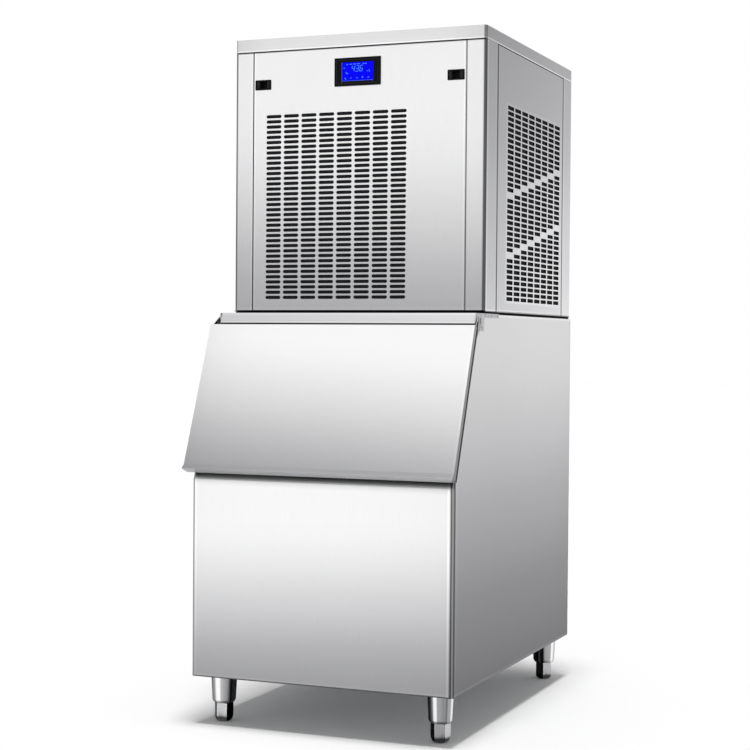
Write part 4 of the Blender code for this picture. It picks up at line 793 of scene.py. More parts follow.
# %% Right side panel with squarer slots
side_low, side_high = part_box("side_panel_right")
side_x = side_high.x
side_half = 0.0207
side_pitch = 0.0492
first_column = panel_y + 0.1416 + side_half
side_row_pitch = 0.0113
side_first_row = 0.8685
side_slot_half = 0.0041
unpunched = (16, 27)
side_slots = []
for column in range(slot_columns):
    for row in range(slot_rows):
        if row + column in unpunched:
            continue
        y = first_column + column * side_pitch
        z = side_first_row + (slot_rows - 1 - row) * side_row_pitch
        side_slots.append(rectangle((y - side_half, z - side_slot_half),
                                    (y + side_half, z + side_slot_half), 0.0016))
# The zone of the painted highlight is given along the side and then by height.
web_highlight_zone = ([(first_column - side_half - 0.012, 0.0), (first_column - side_half - 0.003, 1.0),
             (0.314, 1.0), (0.321, 0.0)],
            [(0.858, 0.0), (0.863, 0.24), (1.20, 0.24), (1.268, 0.18), (1.276, 0.0)])
side_steel = brushed_stainless("brushed_stainless_punched_side", head_front_greys, head_side_greys,
                               head_across, head_along, rows=head_rows, painted_web_highlight=web_highlight_zone)
punched_panel("side_panel_right_punched", rectangle((side_low.y, side_low.z), (side_high.y, side_high.z)),
              side_slots, lambda y, z: (side_x, y, z), (-1, 0, 0), "side_panel_right", side_steel)
print(len(side_slots), "side slots")

# %% [markdown]
# ## Air filters
#
# A dark net hangs just behind each grille and keeps dust off the condenser. Its very dark grey
# also stands in for the shade inside the head, as painted shade, so the slots look evenly dark.
# The net is pleated to give it more area, so it is drawn as a folded strip in a thin frame, and
# not as one flat card.

# %% Pleated nets behind the grilles
pleat_pitch = 0.0080
pleat_depth = 0.0016


def pleated_net(name, low, high, to_space):
    """A net folded in upright pleats between two (across, up) corners, with a rim round it."""
    bm = bmesh.new()
    count = int((high[0] - low[0]) / pleat_pitch) * 2
    columns = []
    for fold in range(count + 1):
        across = low[0] + (high[0] - low[0]) * fold / count
        depth = pleat_depth * (fold % 2)
        columns.append([bm.verts.new(to_space(across, up, depth)) for up in (low[1], high[1])])
    for first, second in zip(columns, columns[1:]):
        bm.faces.new((first[0], second[0], second[1], first[1]))
    rim = 0.004
    for a, b in (((low[0] - rim, low[1] - rim), (high[0] + rim, low[1])),
                 ((low[0] - rim, high[1]), (high[0] + rim, high[1] + rim)),
                 ((low[0] - rim, low[1]), (low[0], high[1])), ((high[0], low[1]), (high[0] + rim, high[1]))):
        one, two = to_space(*a, -0.0004), to_space(*b, pleat_depth + 0.0004)
        add_box(bm, [min(pair) for pair in zip(one, two)], [max(pair) for pair in zip(one, two)])
    bmesh.ops.recalc_face_normals(bm, faces=bm.faces)
    return make_piece(name, bm, net_and_shade, "cabinet", (), 0)


# The gap keeps the pleats off the back of the sheet.
net_gap = 0.0016
front_net_y = panel_y + sheet_thickness + net_gap
pleated_net("front_air_filter", (-0.212, 0.860), (0.116, 1.262), lambda x, z, d: (x, front_net_y + d, z))
side_net_x = side_x - sheet_thickness - net_gap
pleated_net("side_air_filter", (first_column - side_half - 0.006, 0.858), (0.318, 1.274),
            lambda y, z, d: (side_net_x - d, y, z))
print("two nets with pleats", pleat_pitch * 1000, "mm apart")

# %% [markdown]
# ## Legs and feet
#
# The legs are turned stainless cups, polished, that taper down to a foot on a screw. A turned
# surface mirrors the room in upright bands, and here those bands are painted reflection in the
# base colour. They are laid by the direction that each part faces, so they bend with the taper
# and run round every leg. A lathe profile spun through 48 steps gives the smooth round bands
# that the 12-sided solids cannot.

# %% Turned and polished stainless
# Facing in degrees round the leg from +X, and the grey there, as painted reflection. The side of
# a leg that looks under the bin is painted dark for the shade there, and the outer side is painted
# bright for the room, so the legs differ.
left_leg_bands = [(-180, "#6a6a6c"), (-162, "#141416"), (-141, "#1c1c1e"), (-133, "#38383a"),
                  (-128, "#8a8a8c"), (-112, "#a0a0a2"), (-101, "#ffffff"), (-86, "#ffffff"),
                  (-78, "#bcbcbe"), (-62, "#a4a4a6"), (-46, "#98989a"), (-37, "#7e7e80"),
                  (-33, "#242426"), (-25, "#28282a"), (-21, "#4c4c4e"), (-6, "#505052"), (2, "#3c3c3e"),
                  (8, "#2a2a2c"), (24, "#202022"), (60, "#9c9c9e"), (80, "#f4f4f4"), (92, "#f0f0f0"),
                  (104, "#b0b0b2"), (130, "#8c8c8e"), (150, "#a0a0a2"), (166, "#7c7c7e"),
                  (180, "#6a6a6c")]
front_right_bands = [(-180, "#3a3a3c"), (-160, "#161618"), (-130, "#1c1c1e"), (-124, "#747476"),
                     (-108, "#8e8e90"), (-103, "#f8f8f8"), (-90, "#f4f4f4"), (-85, "#989a9c"),
                     (-74, "#a0a0a2"), (-60, "#8c8c8e"), (-49, "#8e8e90"), (-45, "#707072"),
                     (-41, "#747476"), (-37, "#a2a2a4"), (-21, "#a8a8aa"), (-17, "#f8f8f8"),
                     (-1, "#ffffff"), (3, "#7c7c7e"), (12, "#8a8a8c"), (30, "#c8c8ca"), (60, "#9c9c9e"),
                     (80, "#f4f4f4"), (92, "#f0f0f0"), (104, "#b0b0b2"), (140, "#8c8c8e"),
                     (166, "#5c5c5e"), (180, "#3a3a3c")]
rear_right_bands = [(-180, "#1a1a1c"), (-160, "#121214"), (-104, "#18181a"), (-100, "#707072"),
                    (-94, "#707072"), (-90, "#202022"), (-77, "#2a2a2c"), (-68, "#a8a8aa"),
                    (-34, "#a8a8aa"), (-31, "#f8f8f8"), (-17, "#ffffff"), (-12, "#d8d8da"),
                    (16, "#d0d0d2"), (60, "#9c9c9e"), (80, "#f4f4f4"), (92, "#f0f0f0"),
                    (104, "#b0b0b2"), (140, "#8c8c8e"), (168, "#3a3a3c"), (180, "#1a1a1c")]
lathe_mark = 0.0008


def turned_stainless(name, bands, turn=0, rows=None):
    """Polished turned 304 stainless: painted reflection bands by facing from the turn on, faint rings."""
    material, tree, shader = new_material(name, "#a8a8aa", 0.16, 1.0, Specular_Tint=steel_edge_tint)
    place = add_node(tree, "ShaderNodeTexCoord")
    facing = add_node(tree, "ShaderNodeSeparateXYZ", None, Vector=place.outputs["Normal"])
    around = add_node(tree, "ShaderNodeMath", {"operation": "ARCTAN2"}, _0=facing.outputs["Y"],
                      _1=facing.outputs["X"])
    turned = add_node(tree, "ShaderNodeMath", {"operation": "SUBTRACT"}, _0=around.outputs[0],
                      _1=radians(turn))
    wrapped = add_node(tree, "ShaderNodeMath", {"operation": "WRAP"}, _0=turned.outputs[0], _1=pi, _2=-pi)
    greys = ramp_by(tree, wrapped.outputs[0], [(radians(angle), shade) for angle, shade in bands])
    if rows:
        height = add_node(tree, "ShaderNodeSeparateXYZ", None, Vector=place.outputs["Object"])
        by_height = ramp_by(tree, height.outputs["Z"], rows)
        greys = layered(tree, greys, [by_height])
    rings = add_node(tree, "ShaderNodeMapping", {"vector_type": "POINT"}, Vector=place.outputs["Object"],
                     Scale=(20, 20, 1 / lathe_mark))
    marks = add_node(tree, "ShaderNodeTexNoise", None, Vector=rings.outputs[0], Scale=1.0, Detail=2.0)
    strength = add_node(tree, "ShaderNodeMapRange", None, Value=marks.outputs[0], From_Min=0.3,
                        From_Max=0.7, To_Min=0.96, To_Max=1.04)
    worked = add_node(tree, "ShaderNodeVectorMath", {"operation": "SCALE"}, _0=greys,
                      Scale=strength.outputs[0])
    tree.links.new(worked.outputs[0], shader.inputs["Base Color"])
    sheen = add_node(tree, "ShaderNodeMapRange", None, Value=marks.outputs[0], To_Min=0.12, To_Max=0.20)
    tree.links.new(sheen.outputs[0], shader.inputs["Roughness"])
    return material


left_leg_steel = turned_stainless("turned_stainless_left", left_leg_bands)
leg_steels = {"front_left": left_leg_steel, "rear_left": left_leg_steel,
              "front_right": turned_stainless("turned_stainless_front_right", front_right_bands),
              "rear_right": turned_stainless("turned_stainless_rear_right", rear_right_bands)}
print("bands round the legs:", [len(b) for b in (left_leg_bands, front_right_bands, rear_right_bands)])

# %% [markdown]
# ### Shape of a leg
#
# The cup is turned with a small rim at its top, a long taper and a rounded mouth, and it is bored
# out where the foot goes in. One closed profile, spun round the leg's axis, makes the inside and
# the outside at once. A cone with a hole cut in it would need a Boolean for each leg.

# %% Turned legs
leg_corners = ("front_left", "front_right", "rear_left", "rear_right")
leg_low, leg_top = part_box("leg_front_left")[0].z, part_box("leg_front_left")[1].z
skirt_low = leg_low - 0.0035
leg_profile = [(0, leg_top), (0.0262, leg_top), (0.0270, leg_top - 0.0008), (0.0270, leg_top - 0.0030),
               (0.0267, leg_top - 0.0036), (0.0240, skirt_low + 0.0062), (0.0236, skirt_low + 0.0050),
               (0.0214, skirt_low + 0.0010), (0.0203, skirt_low), (0.0131, skirt_low),
               (0.0131, leg_low + 0.031), (0, leg_low + 0.031)]
for corner in leg_corners:
    low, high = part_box("leg_" + corner)
    bm = bmesh.new()
    add_lathe(bm, leg_profile, ((low.x + high.x) / 2, (low.y + high.y) / 2, 0))
    make_piece("turned_leg_" + corner, bm, leg_steels[corner], "cabinet",
               ["leg_" + corner])
print("legs from", round(skirt_low, 4), "to", round(leg_top, 4), "m")

# %% [markdown]
# ## Six-sided feet
#
# The foot is a round bar with six flats for a spanner and a rounded end. Where the flats meet
# the rounded end they stop in small arcs. Crossing the turned shape with a six-sided prism gives
# exactly those arcs. Drawing them by hand would be slower and less true. A foot stops wherever
# it was screwed to, so each is turned its own way, and each flat carries a painted reflection of
# its own part of the room.

# %% Profile and bands of the feet
foot_top = skirt_low - 0.0003
foot_flat = 0.0172
foot_profile = [(0, foot_top + 0.0303), (0.0124, foot_top + 0.0303), (0.0124, foot_top), (0.0182, foot_top),
                (0.0193, foot_top - 0.0010), (0.0197, foot_top - 0.0024), (0.0197, 0.0150),
                (0.0193, 0.0112), (0.0185, 0.0078), (0.0172, 0.0046), (0.0150, 0.0019), (0.0120, 0.0),
                (0, 0.0)]
foot_turns = {"front_left": -79, "front_right": -75, "rear_left": -50, "rear_right": -104}


def flat_bands(flats, corners):
    """Bands for the flats at -120 to 180 degrees, each with the rounded corner before it."""
    bands = [(-180, flats[-1]), (-153, flats[-1])]
    for place, (flat, corner) in enumerate(zip(flats, corners)):
        middle = -120 + 60 * place
        bands += [(middle - 32, corner), (middle - 28, corner), (middle - 27, flat),
                  (min(middle + 27, 180), flat)]
    return bands


# The floor's shadow shows as a dark patch low in each flat.
foot_rows = [(0.0, 0.55), (0.0040, 0.50), (0.0058, 0.24), (0.0092, 0.28), (0.0128, 1.0), (0.04, 1.0)]
# Painted reflection on each flat, and painted highlights and shade on the rounded corners.
left_foot = flat_bands(("#6c6c6e", "#141416", "#c8c8ca", "#08080a", "#8c8c8e", "#a4a4a6"),
                       ("#8c8c8e", "#2a2a2c", "#f8f8f8", "#f8f8f8", "#3a3a3c", "#c4c4c6"))
front_right_foot = flat_bands(("#4a4a4c", "#242426", "#98989a", "#c8c8ca", "#a4a4a6", "#8c8c8e"),
                              ("#3a3a3c", "#101012", "#f8f8f8", "#48484a", "#2a2a2c", "#c4c4c6"))
rear_right_foot = flat_bands(("#8c8c8e", "#18181a", "#2a2a2c", "#b4b4b6", "#c0c0c2", "#9a9a9c"),
                             ("#8c8c8e", "#101012", "#1a1a1c", "#e4e4e6", "#f8f8f8", "#f4f4f4"))
foot_steels = {corner: turned_stainless("flats_" + corner, bands, foot_turns[corner], foot_rows)
               for corner, bands in (("front_left", left_foot), ("front_right", front_right_foot),
                                     ("rear_left", left_foot), ("rear_right", rear_right_foot))}
print("feet turned by", foot_turns, "degrees")

# %% [markdown]
# ### Cutting the flats
#
# Each turned foot is crossed with its own six-sided prism, and the result is kept as a plain
# mesh. A Boolean left on the piece would be worked out again at every pose, and would need the
# prism to stay in the scene.

# %% Screw feet with spanner flats
def six_sided_prism(name, centre, apothem, low, high, turn):
    """A six-sided cutter whose first flat faces this turn."""
    mesh = bpy.data.meshes.new(name)
    bm = bmesh.new()
    radius = apothem / cos(pi / 6)
    loops = []
    for z in (low, high):
        loops.append([bm.verts.new((centre[0] + radius * cos(turn + pi / 6 + k * pi / 3),
                                    centre[1] + radius * sin(turn + pi / 6 + k * pi / 3), z))
                      for k in range(6)])
    bm.faces.new(loops[0][::-1])
    bm.faces.new(loops[1])
    for k in range(6):
        bm.faces.new((loops[0][k], loops[0][(k + 1) % 6], loops[1][(k + 1) % 6], loops[1][k]))
    bm.to_mesh(mesh)
    bm.free()
    prism = bpy.data.objects.new(name, mesh)
    bpy.context.scene.collection.objects.link(prism)
    return prism


for corner in leg_corners:
    low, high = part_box("foot_" + corner)
    centre = ((low.x + high.x) / 2, (low.y + high.y) / 2, 0)
    bm = bmesh.new()
    add_lathe(bm, foot_profile, centre)
    foot = make_piece("screw_foot_" + corner, bm, foot_steels[corner], body_of_node["foot_" + corner],
                      ["foot_" + corner])
    cutter = six_sided_prism("flats_" + corner, centre, foot_flat, -0.01, 0.09,
                             radians(foot_turns[corner]))
    flats = foot.modifiers.new("spanner_flats", "BOOLEAN")
    flats.object = cutter
    flats.operation = "INTERSECT"
    flats.solver = "EXACT"
    bpy.context.view_layer.update()
    finished = bpy.data.meshes.new_from_object(foot.evaluated_get(bpy.context.evaluated_depsgraph_get()))
    foot.modifiers.clear()
    foot.data = finished
    finished.shade_smooth()
    finished.set_sharp_from_angle(angle=radians(25))
    bpy.data.objects.remove(cutter)
print("four feet of", len(foot.data.polygons), "faces")

# %% [markdown]
# ## Controller
#
# A black moulded bezel frames a backlit blue screen. A thin raised line runs round it close to
# the edge, and two small screws sit under the glass. The bezel's mitred bars come from four
# loops of corners, which keeps the inner edge sharp for the glass.

# %% Bezel with its raised line and screws
low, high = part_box("controller_housing")
bezel_front = low.y
centre_x, centre_z = (low.x + high.x) / 2, (low.z + high.z) / 2
bezel_half = ((high.x - low.x) / 2, (high.z - low.z) / 2)
screen_low, screen_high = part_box("controller_display")
window_half = ((screen_high.x - screen_low.x) / 2 + 0.0002, (screen_high.z - screen_low.z) / 2 + 0.0002)


def frame_ring(bm, half, inner, front, back):
    """Four mitred bars round a window: half and inner are (across, up) half sizes."""
    loops = []
    for (across, up), y in ((half, back), (half, front), (inner, front), (inner, back)):
        corners = ((-across, -up), (across, -up), (across, up), (-across, up))
        loops.append([bm.verts.new((centre_x + x, y, centre_z + z)) for x, z in corners])
    for first, second in zip(loops, loops[1:] + loops[:1]):
        for place in range(4):
            bm.faces.new((first[place], first[(place + 1) % 4], second[(place + 1) % 4], second[place]))
    bmesh.ops.recalc_face_normals(bm, faces=bm.faces)


bm = bmesh.new()
frame_ring(bm, bezel_half, window_half, bezel_front, panel_y - 0.0003)
body_half = (bezel_half[0] - 0.0042, bezel_half[1] - 0.0042)
add_box(bm, (centre_x - body_half[0], panel_y - 0.0002, centre_z - body_half[1]),
        (centre_x + body_half[0], high.y, centre_z + body_half[1]))
bezel = make_piece("controller_bezel", bm, black_abs, "cabinet", ["controller_housing"], 30)
bevel_piece(bezel, 0.0006, 3, 40)

bm = bmesh.new()
line_half = (bezel_half[0] - 0.0046, bezel_half[1] - 0.0046)
frame_ring(bm, line_half, (line_half[0] - 0.0008, line_half[1] - 0.0008), bezel_front - 0.0001,
           bezel_front + 0.0005)
make_piece("controller_rim_line", bm, slider_abs, "cabinet", (), 30)

bm = bmesh.new()
for side in (-1, 1):
    screw = (centre_x + side * (window_half[0] - 0.001), bezel_front, screen_low.z - 0.0030)
    add_lathe(bm, [(0, 0.0006), (0.0012, 0.0006), (0.0016, 0.0003), (0.0017, 0.0001), (0, 0.0001)],
              screw, "-Y", 16)
make_piece("bezel_screws", bm, slider_abs, "cabinet")
print("bezel", round(2000 * bezel_half[0]), "by", round(2000 * bezel_half[1]), "mm")

# %% [markdown]
# ## Blue screen
#
# The screen shows plain generic digits and small status marks, all lit pale blue. Each digit is
# made of bars that lean a little, as on any such display. The glass gives off its own even
# light, so it uses emission. It hardly mirrors the room, or the blue would wash out.

# %% Glass and lit segments
def lit_glass(name, colour, glow, low_glow, high_glow, patch):
    """Lit liquid crystal: a colour that glows a little unevenly, in patches of this size."""
    material, tree, shader = new_material(name, colour, 0.5, Specular_IOR_Level=0.04)
    shader.inputs["Emission Color"].default_value = linear(glow)
    place = add_node(tree, "ShaderNodeTexCoord")
    cloud = add_node(tree, "ShaderNodeTexNoise", None, Vector=place.outputs["Object"], Scale=1 / patch,
                     Detail=1.0)
    light = add_node(tree, "ShaderNodeMapRange", None, Value=cloud.outputs[0], From_Min=0.3, From_Max=0.7,
                     To_Min=low_glow, To_Max=high_glow)
    tree.links.new(light.outputs[0], shader.inputs["Emission Strength"])
    return material


screen_glass = lit_glass("backlit_blue_lcd", "#05053c", "#0000ff", 0.78, 1.0, 0.012)
lit_segment = lit_glass("lit_lcd_segment", "#16306e", "#4c8cff", 0.75, 1.0, 0.003)
# A painted highlight for the glass's edge, made to glow.
glass_edge_highlight = lit_glass("lcd_edge_highlight", "#2a3460", "#4a5cc0", 0.6, 1.0, 0.006)
set_finish(["controller_display"], screen_glass)
print("screen glass, lit segments and glass edge")

# %% [markdown]
# ### Digits and marks
#
# A segment display builds each figure from up to seven bars, so the script lists which bars each
# figure lights. A text object would be quicker, but its figures are not cut from bars. The small
# marks round the digits are plain dashes.

# %% Bars of a digit
segments = {"top": ((0.1, 2.0), (0.9, 2.0)), "middle": ((0.1, 1.0), (0.9, 1.0)),
            "bottom": ((0.1, 0.0), (0.9, 0.0)), "upper_left": ((0.0, 1.1), (0.0, 1.9)),
            "upper_right": ((1.0, 1.1), (1.0, 1.9)), "lower_left": ((0.0, 0.1), (0.0, 0.9)),
            "lower_right": ((1.0, 0.1), (1.0, 0.9))}
digits = {"4": ("upper_left", "middle", "upper_right", "lower_right"),
          "3": ("top", "middle", "bottom", "upper_right", "lower_right"),
          "6": ("top", "middle", "bottom", "upper_left", "lower_left", "lower_right")}
digit_width = 0.0058
digit_lean = 0.22
bar_half = 0.00062
glass_front = screen_low.y


def add_bar(bm, start, end, half):
    """A thin raised bar with pointed ends on the glass, from start to end as (across, up)."""
    a = Vector((start[0], 0, start[1]))
    b = Vector((end[0], 0, end[1]))
    along = (b - a).normalized() * half
    across = Vector((-along.z, 0, along.x))
    outline = [a - along, a + across, b + across, b + along, b - across, a - across]
    front = [bm.verts.new(point + Vector((0, glass_front - 0.0002, 0))) for point in outline]
    back = [bm.verts.new(point + Vector((0, glass_front + 0.0001, 0))) for point in outline]
    bm.faces.new(front)
    bm.faces.new(back[::-1])
    for place in range(6):
        bm.faces.new((front[place], back[place], back[(place + 1) % 6], front[(place + 1) % 6]))
    bmesh.ops.recalc_face_normals(bm, faces=bm.faces)


print("a digit has", len(segments), "bars")

# %% Digits, status marks and the glass's edge
bm = bmesh.new()
digit_left, digit_low = centre_x - 0.0135, centre_z + 0.0004
for count, figure in enumerate("436"):
    for segment in digits[figure]:
        ends = [(digit_left + (count * 1.55 + across + digit_lean * up) * digit_width,
                 digit_low + up * digit_width) for across, up in segments[segment]]
        add_bar(bm, *ends, bar_half)
# Small marks: a row on top, one at each side, and a row along the bottom edge.
marks = [(-0.024, 0.0152, 0.0026), (-0.0165, 0.0153, 0.0040), (-0.0085, 0.0153, 0.0052),
         (-0.0005, 0.0154, 0.0012), (0.0025, 0.0155, 0.0026), (0.0120, 0.0156, 0.0030),
         (0.0170, 0.0155, 0.0028), (-0.0300, 0.0078, 0.0016), (-0.0260, -0.0010, 0.0018),
         (-0.0245, -0.0034, 0.0036), (0.0215, 0.0002, 0.0010), (0.0250, 0.0016, 0.0014),
         (0.0262, -0.0010, 0.0014), (-0.0280, -0.0125, 0.0012), (-0.0268, -0.0145, 0.0020),
         (-0.0155, -0.0128, 0.0020), (-0.0020, -0.0130, 0.0022), (0.0100, -0.0128, 0.0022),
         (0.0108, -0.0112, 0.0014), (0.0230, -0.0130, 0.0026)]
for x, z, length in marks:
    add_bar(bm, (centre_x + x, centre_z + z), (centre_x + x + length, centre_z + z), 0.0008)
make_piece("display_digits", bm, lit_segment, "cabinet", (), 0)

# A painted highlight: a paler glowing line along the glass's left and lower edge.
bm = bmesh.new()
edge = 0.0011
add_box(bm, (screen_low.x, glass_front - 0.0003, screen_low.z),
        (screen_high.x, glass_front + 0.0002, screen_low.z + edge))
add_box(bm, (screen_low.x, glass_front - 0.0003, screen_low.z + edge + 0.0001),
        (screen_low.x + edge, glass_front + 0.0002, screen_high.z))
make_piece("display_edge_highlight", bm, glass_edge_highlight, "cabinet", (), 0)
print("digits", round(2000 * digit_width, 1), "mm tall and", len(marks), "marks")

# %% [markdown]
# ## Slide latches
#
# Two small latches hold the front panel. Each is a black cup with a deep finger pocket, a fixed
# bar at its inner end and a sliding bar at its outer end, which moves inward against a spring.
# The cup is one skin, drawn as loops from the rim down to the pocket's floor, so its edges stay
# clean where it meets the panel.

# %% Latch cups
def loop_skin(bm, loops):
    """Join closed loops of the same count into one skin, loop to loop."""
    for first, second in zip(loops, loops[1:]):
        for place in range(len(first)):
            following = (place + 1) % len(first)
            bm.faces.new((first[place], first[following], second[following], second[place]))


def centred(half, inset, radius):
    """A rectangle round the origin, this far in from its half sizes."""
    return rectangle((inset - half[0], inset - half[1]), (half[0] - inset, half[1] - inset), radius)


cup_rim = 0.0029
for side_name in ("left", "right"):
    low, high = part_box("latch_cup_" + side_name)
    middle_x, middle_z = (low.x + high.x) / 2, (low.z + high.z) / 2
    half = ((high.x - low.x) / 2, (high.z - low.z) / 2)
    floor_y = high.y - 0.0018
    rows = [(centred(half, 0.0017, 0.0008), high.y), (centred(half, 0.0017, 0.0008), panel_y - 0.0003),
            (centred(half, 0, 0.0012), panel_y - 0.0003), (centred(half, 0, 0.0012), low.y + 0.0004),
            (centred(half, 0.0004, 0.0010), low.y), (centred(half, cup_rim, 0.0006), low.y),
            (centred(half, cup_rim + 0.0002, 0.0006), low.y + 0.0003),
            (centred(half, cup_rim + 0.0002, 0.0006), floor_y)]
    bm = bmesh.new()
    loops = [[bm.verts.new((middle_x + x, y, middle_z + z)) for x, z in loop] for loop, y in rows]
    loop_skin(bm, loops)
    bm.faces.new(loops[0])
    bm.faces.new(loops[-1])
    bmesh.ops.recalc_face_normals(bm, faces=bm.faces)
    make_piece("latch_pocket_" + side_name, bm, black_abs, "cabinet",
               ["latch_cup_" + side_name], 30)
print("cups", round(2000 * half[0]), "by", round(2000 * half[1]), "mm")

# %% [markdown]
# ### Bars in the latches
#
# A finger pushes the sliding bar inward, and the fixed bar at the other end gives the thumb a
# hold, so both have ribs. Each bar is a plate with four low ribs on its face. The sliding bar
# rides on its own body and moves with its joint, while the fixed one stays with the cabinet.

# %% Fixed bars and ribbed sliding bars
def ribbed_bar(name, low, high, body, replaced):
    """A finger bar with four low ribs across its face."""
    bm = bmesh.new()
    add_box(bm, (low[0], low[1] + 0.0005, low[2]), high)
    pitch = (high[0] - low[0]) / 4
    for rib in range(4):
        start = low[0] + (rib + 0.2) * pitch
        add_box(bm, (start, low[1], low[2] + 0.0008),
                (start + 0.6 * pitch, low[1] + 0.0008, high[2] - 0.0008))
    return make_piece(name, bm, slider_abs, body, replaced, 30)


for side_name, side in (("left", -1), ("right", 1)):
    low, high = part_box("latch_slider_" + side_name)
    body = body_of_node["latch_slider_" + side_name]
    ribbed_bar("ribbed_slider_" + side_name, low, high, body, ["latch_slider_" + side_name])
    cup_low, cup_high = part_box("latch_cup_" + side_name)
    inner_end = cup_high.x - cup_rim if side < 0 else cup_low.x + cup_rim
    inner_edges = sorted((inner_end + side * 0.0004, inner_end + side * 0.0058))
    ribbed_bar("fixed_bar_" + side_name, (inner_edges[0], low.y, low.z),
               (inner_edges[1], cup_high.y - 0.0017, high.z), "cabinet", ())
print("two sliding and two fixed bars")

# %% [markdown]
# ## Hinges
#
# Each hinge is a 3 mm plate riveted to the bin, with a long strap under the head and a shouldered
# stud that the lid's ear turns on. The stud's end is peened over into a dome after the ear is on,
# so it can't come off. The plate is a flat outline given its thickness, and its stud is turned.

# %% Hinge plates with a turned stud and rivets
plate_inner, plate_outer = 0.2803, 0.2833
pivot_y, pivot_z = -0.2644, 0.8201
plate_top = 0.8355
strap_low = plate_top - 0.008
plate_outline = [(-0.2730, 0.8001), (-0.2344, 0.8001), (-0.2304, strap_low), (-0.1394, strap_low),
                 (-0.1394, plate_top), (-0.2730, plate_top)]
stud_profile = [(0.0060, 0.0005), (0.0060, 0.0047), (0.0057, 0.0050), (0.0030, 0.0053), (0.0030, 0.0072),
                (0.0052, 0.0072), (0.0055, 0.0074), (0.0054, 0.0077), (0.0046, 0.0081), (0.0030, 0.0084),
                (0, 0.0085)]
rivet_profile = [(0.0029, -0.0002), (0.0029, 0.0002), (0.0026, 0.0007), (0.0017, 0.0011), (0, 0.0012)]
for side_name, side in (("left", -1), ("right", 1)):
    bm = bmesh.new()
    corners = [bm.verts.new((side * plate_inner, y, z)) for y, z in plate_outline]
    swept = bmesh.ops.extrude_face_region(bm, geom=[bm.faces.new(corners)])
    moved = [item for item in swept["geom"] if isinstance(item, bmesh.types.BMVert)]
    bmesh.ops.translate(bm, verts=moved, vec=(side * (plate_outer - plate_inner), 0, 0))
    axis = "X" if side > 0 else "-X"
    add_lathe(bm, stud_profile, (side * plate_inner, pivot_y, pivot_z), axis, 32)
    for y, z in ((-0.2450, 0.8070), (-0.2250, 0.8315), (-0.1850, 0.8315), (-0.1470, 0.8315)):
        add_lathe(bm, rivet_profile, (side * plate_outer, y, z), axis, 16)
    plate = make_piece("riveted_hinge_" + side_name, bm, polished_stainless, "cabinet",
                       ["hinge_bracket_" + side_name])
    bevel_piece(plate, 0.0004)
print("hinge plates", round(1000 * (plate_outer - plate_inner)), "mm thick, four rivets each")

# %% [markdown]
# ## Fittings at the back
#
# Water comes in through a threaded tail and leaves the bin through a plastic one, and the mains
# lead has a gland. A thread is one ridge that climbs round the tail, so each is drawn as a tube
# whose radius depends on both the height and the angle. A stack of rings would look the same from
# afar, but it isn't a thread. The nuts are the same kind of tube, with a radius that follows six
# flats.

# %% Tubes whose radius changes with height and angle
def round_of(radius):
    """The same radius all round."""
    return lambda angle, y: radius


def hexagon(apothem, limit=1.0):
    """Six flats, with the corners cut off where they pass the limit."""
    return lambda angle, y: min(limit, apothem / cos((angle + pi / 6) % (pi / 3) - pi / 6))


def thread(radius, depth, pitch):
    """One pointed ridge that climbs by the pitch at each turn."""
    return lambda angle, y: radius - depth * abs(2 * ((y / pitch - angle / (2 * pi)) % 1) - 1)


def fitting(bm, place, rows, steps=48):
    """A closed tube round the Y axis through place, from rows of (height, radius function)."""
    angles = [2 * pi * step / steps for step in range(steps)]
    loops = []
    for y, radius in rows:
        loops.append([bm.verts.new((place[0] + radius(a, y) * cos(a), place[1] + y,
                                    place[2] + radius(a, y) * sin(a))) for a in angles])
    loop_skin(bm, loops + loops[:1])
    bmesh.ops.recalc_face_normals(bm, faces=bm.faces)


rows_per_turn = 6


def thread_rows(start, end, shape, pitch):
    """Rows from start to end, close enough to draw each ridge of a thread."""
    count = int((end - start) / pitch * rows_per_turn)
    return [(start + (end - start) * row / count, shape) for row in range(count + 1)]


def nut_rows(start, end, apothem, hole):
    """A nut: flats, a chamfer at both ends, and the round hole through it."""
    cut, full = hexagon(apothem, 1.02 * apothem), hexagon(apothem, 1.13 * apothem)
    return [(start, round_of(hole)), (start, cut), (start + 0.0008, full), (end - 0.0008, full), (end, cut),
            (end, round_of(hole))]


print("a nut's corner is", round(1 / cos(pi / 6), 3), "times as far out as its flat")

# %% [markdown]
# ### Inlet, drain and gland
#
# The inlet is steel with a fine thread of 1.8 mm, the drain is plastic with a coarser one of
# 2.6 mm, and the cap of the gland has ribs for the fingers. Each one starts behind its panel, so
# that no light shows round it. Their places come from the boxes of the solids that they replace.

# %% Water inlet, drain and cable gland
rear_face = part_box("bin_back")[1].y
low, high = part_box("water_inlet")
inlet = ((low.x + high.x) / 2, rear_face, (low.z + high.z) / 2)
bm = bmesh.new()
fitting(bm, inlet, [(-0.0115, round_of(0.0060)), (-0.0115, round_of(0.0190)), (-0.0016, round_of(0.0190)),
                    (-0.0016, round_of(0.0131))]
        + thread_rows(-0.0014, 0.0208, thread(0.0131, 0.0009, 0.0018), 0.0018)
        + [(0.0216, round_of(0.0120)), (0.0220, round_of(0.0112)), (0.0220, round_of(0.0066)),
           (0.0214, round_of(0.0060))])
fitting(bm, inlet, nut_rows(0.0003, 0.0055, 0.0160, 0.0132))
make_piece("threaded_water_inlet", bm, polished_stainless, "cabinet",
           ["water_inlet"], 30)

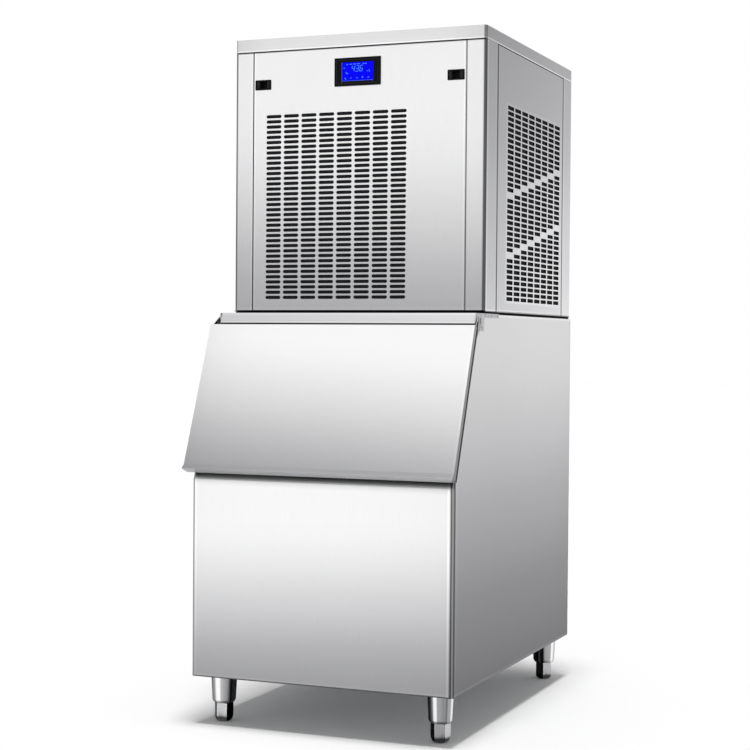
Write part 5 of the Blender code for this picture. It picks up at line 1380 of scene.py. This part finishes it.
low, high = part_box("bin_drain")
drain = ((low.x + high.x) / 2, rear_face, (low.z + high.z) / 2)
bm = bmesh.new()
fitting(bm, drain, [(low.y - rear_face, round_of(0.0100)), (low.y - rear_face, round_of(0.0130)),
                    (-0.0010, round_of(0.0130))]
        + thread_rows(0.0, 0.0206, thread(0.0130, 0.0010, 0.0026), 0.0026)
        + [(0.0214, round_of(0.0121)), (0.0220, round_of(0.0116)), (0.0220, round_of(0.0104)),
           (0.0214, round_of(0.0100))])
fitting(bm, drain, nut_rows(0.0003, 0.0068, 0.0170, 0.0131))
make_piece("threaded_drain", bm, white_liner, "cabinet", ["bin_drain"], 30)

low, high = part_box("cable_gland")
gland = ((low.x + high.x) / 2, rear_face, (low.z + high.z) / 2)


def ribbed(radius):
    """Grip ribs round the cap, about 2.6 mm apart."""
    return lambda angle, y: radius - 0.0005 * abs(sin(16 * angle))


bm = bmesh.new()
fitting(bm, gland, [(-0.0100, round_of(0.0050)), (-0.0100, round_of(0.0098)), (0.0004, round_of(0.0098)),
                    (0.0004, hexagon(0.0126, 0.0128)), (0.0012, hexagon(0.0126, 0.0143)),
                    (0.0052, hexagon(0.0126, 0.0143)), (0.0060, hexagon(0.0126, 0.0128)),
                    (0.0060, round_of(0.0108)), (0.0066, round_of(0.0108)), (0.0067, ribbed(0.0120)),
                    (0.0070, ribbed(0.0124)), (0.0112, ribbed(0.0122)), (0.0122, round_of(0.0114)),
                    (0.0140, round_of(0.0100)), (0.0154, round_of(0.0080)), (0.0160, round_of(0.0062)),
                    (0.0158, round_of(0.0050))], 96)
make_piece("ribbed_cable_gland", bm, black_abs, "cabinet", ["cable_gland"], 30)
print("inlet, drain and gland stand out of the back at y =", round(rear_face, 4), "m")

# %% [markdown]
# ### Screws at the back
#
# The panel at the back of the head is held by button-head screws. A head is a low dome with a
# six-sided socket, and the tube function of the fittings makes that shape as well. The eight are
# one piece, because they are alike and all stay with the cabinet.

# %% Screws of the rear panel
# Button heads 9 mm across with a six-sided socket, by the folded rim of the panel.
screw_rows = [(-0.0002, round_of(0.0020)), (-0.0002, round_of(0.0046)), (0.0006, round_of(0.0045)),
              (0.0013, round_of(0.0038)), (0.0018, round_of(0.0026)), (0.0018, hexagon(0.0014)),
              (0.0002, hexagon(0.0013))]
low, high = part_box("rear_panel")
screw_inset = 0.0090
bm = bmesh.new()
for x in (low.x + screw_inset, (low.x + high.x) / 2, high.x - screw_inset):
    for z in (low.z + screw_inset, (low.z + high.z) / 2, high.z - screw_inset):
        if abs(x) > 0.1 or abs(z - (low.z + high.z) / 2) > 0.1:
            fitting(bm, (x, high.y, z), screw_rows, 24)
make_piece("rear_panel_screws", bm, polished_stainless, "cabinet", (), 30)
print("eight screws round the rear panel")
